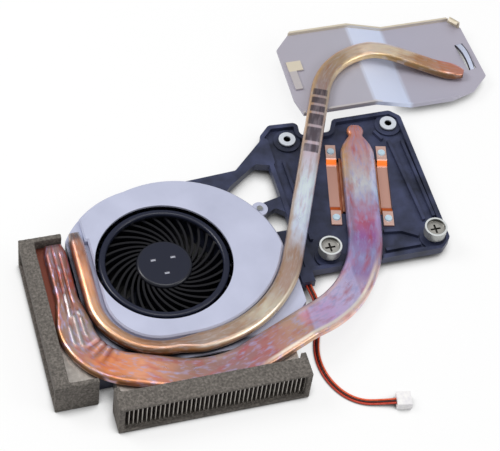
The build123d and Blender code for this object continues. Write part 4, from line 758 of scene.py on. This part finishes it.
narrowFacts = {
    **pipeFacts, "name": "narrow_pipe", "node": "chipset_heat_pipe", "slot": "pipe_gold_copper",
    "corners": [(-26.9, 17.0), (-26.9, -33.1), (30.9, -33.2), (83.8, 85.6), (129.346, 63.0)],
    "radii": [22.0, 43.0, 25.0], "creases": (97.0, 121.0), "endReach": 6.0,
    "width": [(-5.4, 7.0), (-3.0, 6.2), (-1.2, 4.8), (-0.001, 3.5), (0, 3.75), (3.6, 5.0), (64.5, 5.0), (71.5, 7.0)],
    "thick": [(-5.4, 3.4), (-2.6, 3.1), (-0.001, 2.0), (0, 1.75), (1.6, 3.2), (3.6, 3.9), (64.5, 3.9), (71.5, 3.4)],
    "middle": [(-6, 11.4), (-0.001, 11.4), (0, 11.65), (64.5, 11.65), (71.5, 11.4)],
    "shift": [(-6, 0), (0, 0)], "wrinkles": (0.0, 0.1, 3.0, 0.0), "solder": [], "furrows": [],
    "finish": "heat_tinted_copper_narrow", "tintLength": 262.0,
    "ink": [(165.5, 169.4), (170.4, 177.2), (178.0, 183.4), (184.1, 187.3), (188.0, 191.2), (191.9, 195.2)],
    "warm": ("#A8642E", 0.4), "cool": ("#C4C4CC", 0.4),
    "slopeTint": ("#E8DCD0", 0.15), "highlightLine": (-0.75, 66.0, 118.0, 0.5),
    "outerTintAndHighlight": [(0, "#9A8C86"), (8, "#A0604C"), (24, "#9A5A48"), (40, "#5E3E28"), (56, "#664C38"), (66, "#AC7A50"),
                  (78, "#B8987A"), (90, "#EADCBA"), (104, "#D2C2A8"), (120, "#B29486"), (130, "#D4DEFA"),
                  (152, "#E0F0FF"), (162, "#C4B4B2"), (196, "#C8B49A"), (206, "#E8D2B0"), (218, "#E8CC9C"),
                  (234, "#A88A60"), (262, "#6A4A3C")],
    "middleTint": [(0, "#7A6E70"), (8, "#C08468"), (20, "#F0AC84"), (36, "#D4A884"), (54, "#A2765A"), (70, "#A08C82"),
                   (86, "#A8907E"), (97, "#D0C8B4"), (108, "#B0968A"), (122, "#AA9082"), (134, "#DCE8FF"),
                   (152, "#E4F0FF"), (164, "#DCCCDA"), (198, "#A89088"), (212, "#B69C80"), (226, "#F4DEC8"),
                   (236, "#F8E4C4"), (244, "#BC8450"), (262, "#D89284")],
    "innerTint": [(0, "#BABFCB"), (8, "#C29C98"), (24, "#D6A6A2"), (40, "#AA8A7C"), (58, "#A07E62"), (74, "#B8A090"),
                  (96, "#B4A288"), (116, "#B09078"), (132, "#C4B4A8"), (150, "#C8B4A8"), (164, "#BEA898"),
                  (204, "#CCA678"), (222, "#D8BEB4"), (234, "#DCE0F0"), (242, "#C4A494"), (249, "#D87848"),
                  (262, "#E8AAB4")]}
makePipe(narrowFacts, pipeMaterial(narrowFacts))
print("pipes made")

# Foam: open-cell gasket cut from sheet, worked from the copy of each CAD sleeve
foamFacts = {"weld": 0.005, "cell": 0.36, "smoothing": 2, "grain": 0.035, "seed": 11}


def makeFoam(nodeName, pieceName, facts, material):
    # The sleeve's copy is merged, remeshed in small cells, softened, and each point moved a little along its
    # normal, but not into the floor
    piece = bpy.data.objects.new(pieceName, cad[nodeName].data.copy())
    scene.collection.objects.link(piece)
    weld = piece.modifiers.new("weld", "WELD")
    weld.merge_threshold = facts["weld"] * mm
    cells = piece.modifiers.new("cells", "REMESH")
    cells.mode = "VOXEL"
    cells.voxel_size = facts["cell"] * mm
    soft = piece.modifiers.new("soft", "SMOOTH")
    soft.iterations = facts["smoothing"]
    shaped = bpy.data.meshes.new_from_object(piece.evaluated_get(bpy.context.evaluated_depsgraph_get()))
    piece.modifiers.clear()
    piece.data = shaped
    count = len(shaped.vertices)
    points, normals = np.zeros(count * 3), np.zeros(count * 3)
    shaped.vertices.foreach_get("co", points)
    shaped.vertices.foreach_get("normal", normals)
    points, normals = points.reshape(-1, 3), normals.reshape(-1, 3)
    rough = np.random.default_rng(facts["seed"]).normal(size=(count, 1)) * facts["grain"] * mm
    points += normals * rough
    points[:, 2] = np.maximum(points[:, 2], 0)
    shaped.vertices.foreach_set("co", points.ravel())
    shaped.update()
    shaped.polygons.foreach_set("use_smooth", np.ones(len(shaped.polygons), bool))
    shaped.materials.clear()
    shaped.materials.append(material)
    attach(piece, "cooler")
    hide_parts(nodeName)


# Open-cell foam: matt warm grey, pitted all over
material, tree, shader, place = startMaterial("open_cell_foam", 0.0, 1.0)
cells = addNode(tree, "TexNoise", {"Vector": place, "Scale": 1 / (0.8 * mm), "Detail": 6.0, "Roughness": 0.6})
tone = addNode(tree, "ValToRGB", {"Fac": cells},
               stops=[(0.32, "#4C4844"), (0.5, "#645F5A"), (0.68, "#7E7872")])
pits = addNode(tree, "Bump", {"Height": cells, "Strength": 0.35, "Distance": 0.2 * mm})
feed(tree, shader, {"Base Color": tone, "Normal": pits})
makeFoam("front_foam_gasket", "foam_front", foamFacts, material)
makeFoam("left_foam_gasket", "foam_left", foamFacts, material)
print("foam made")
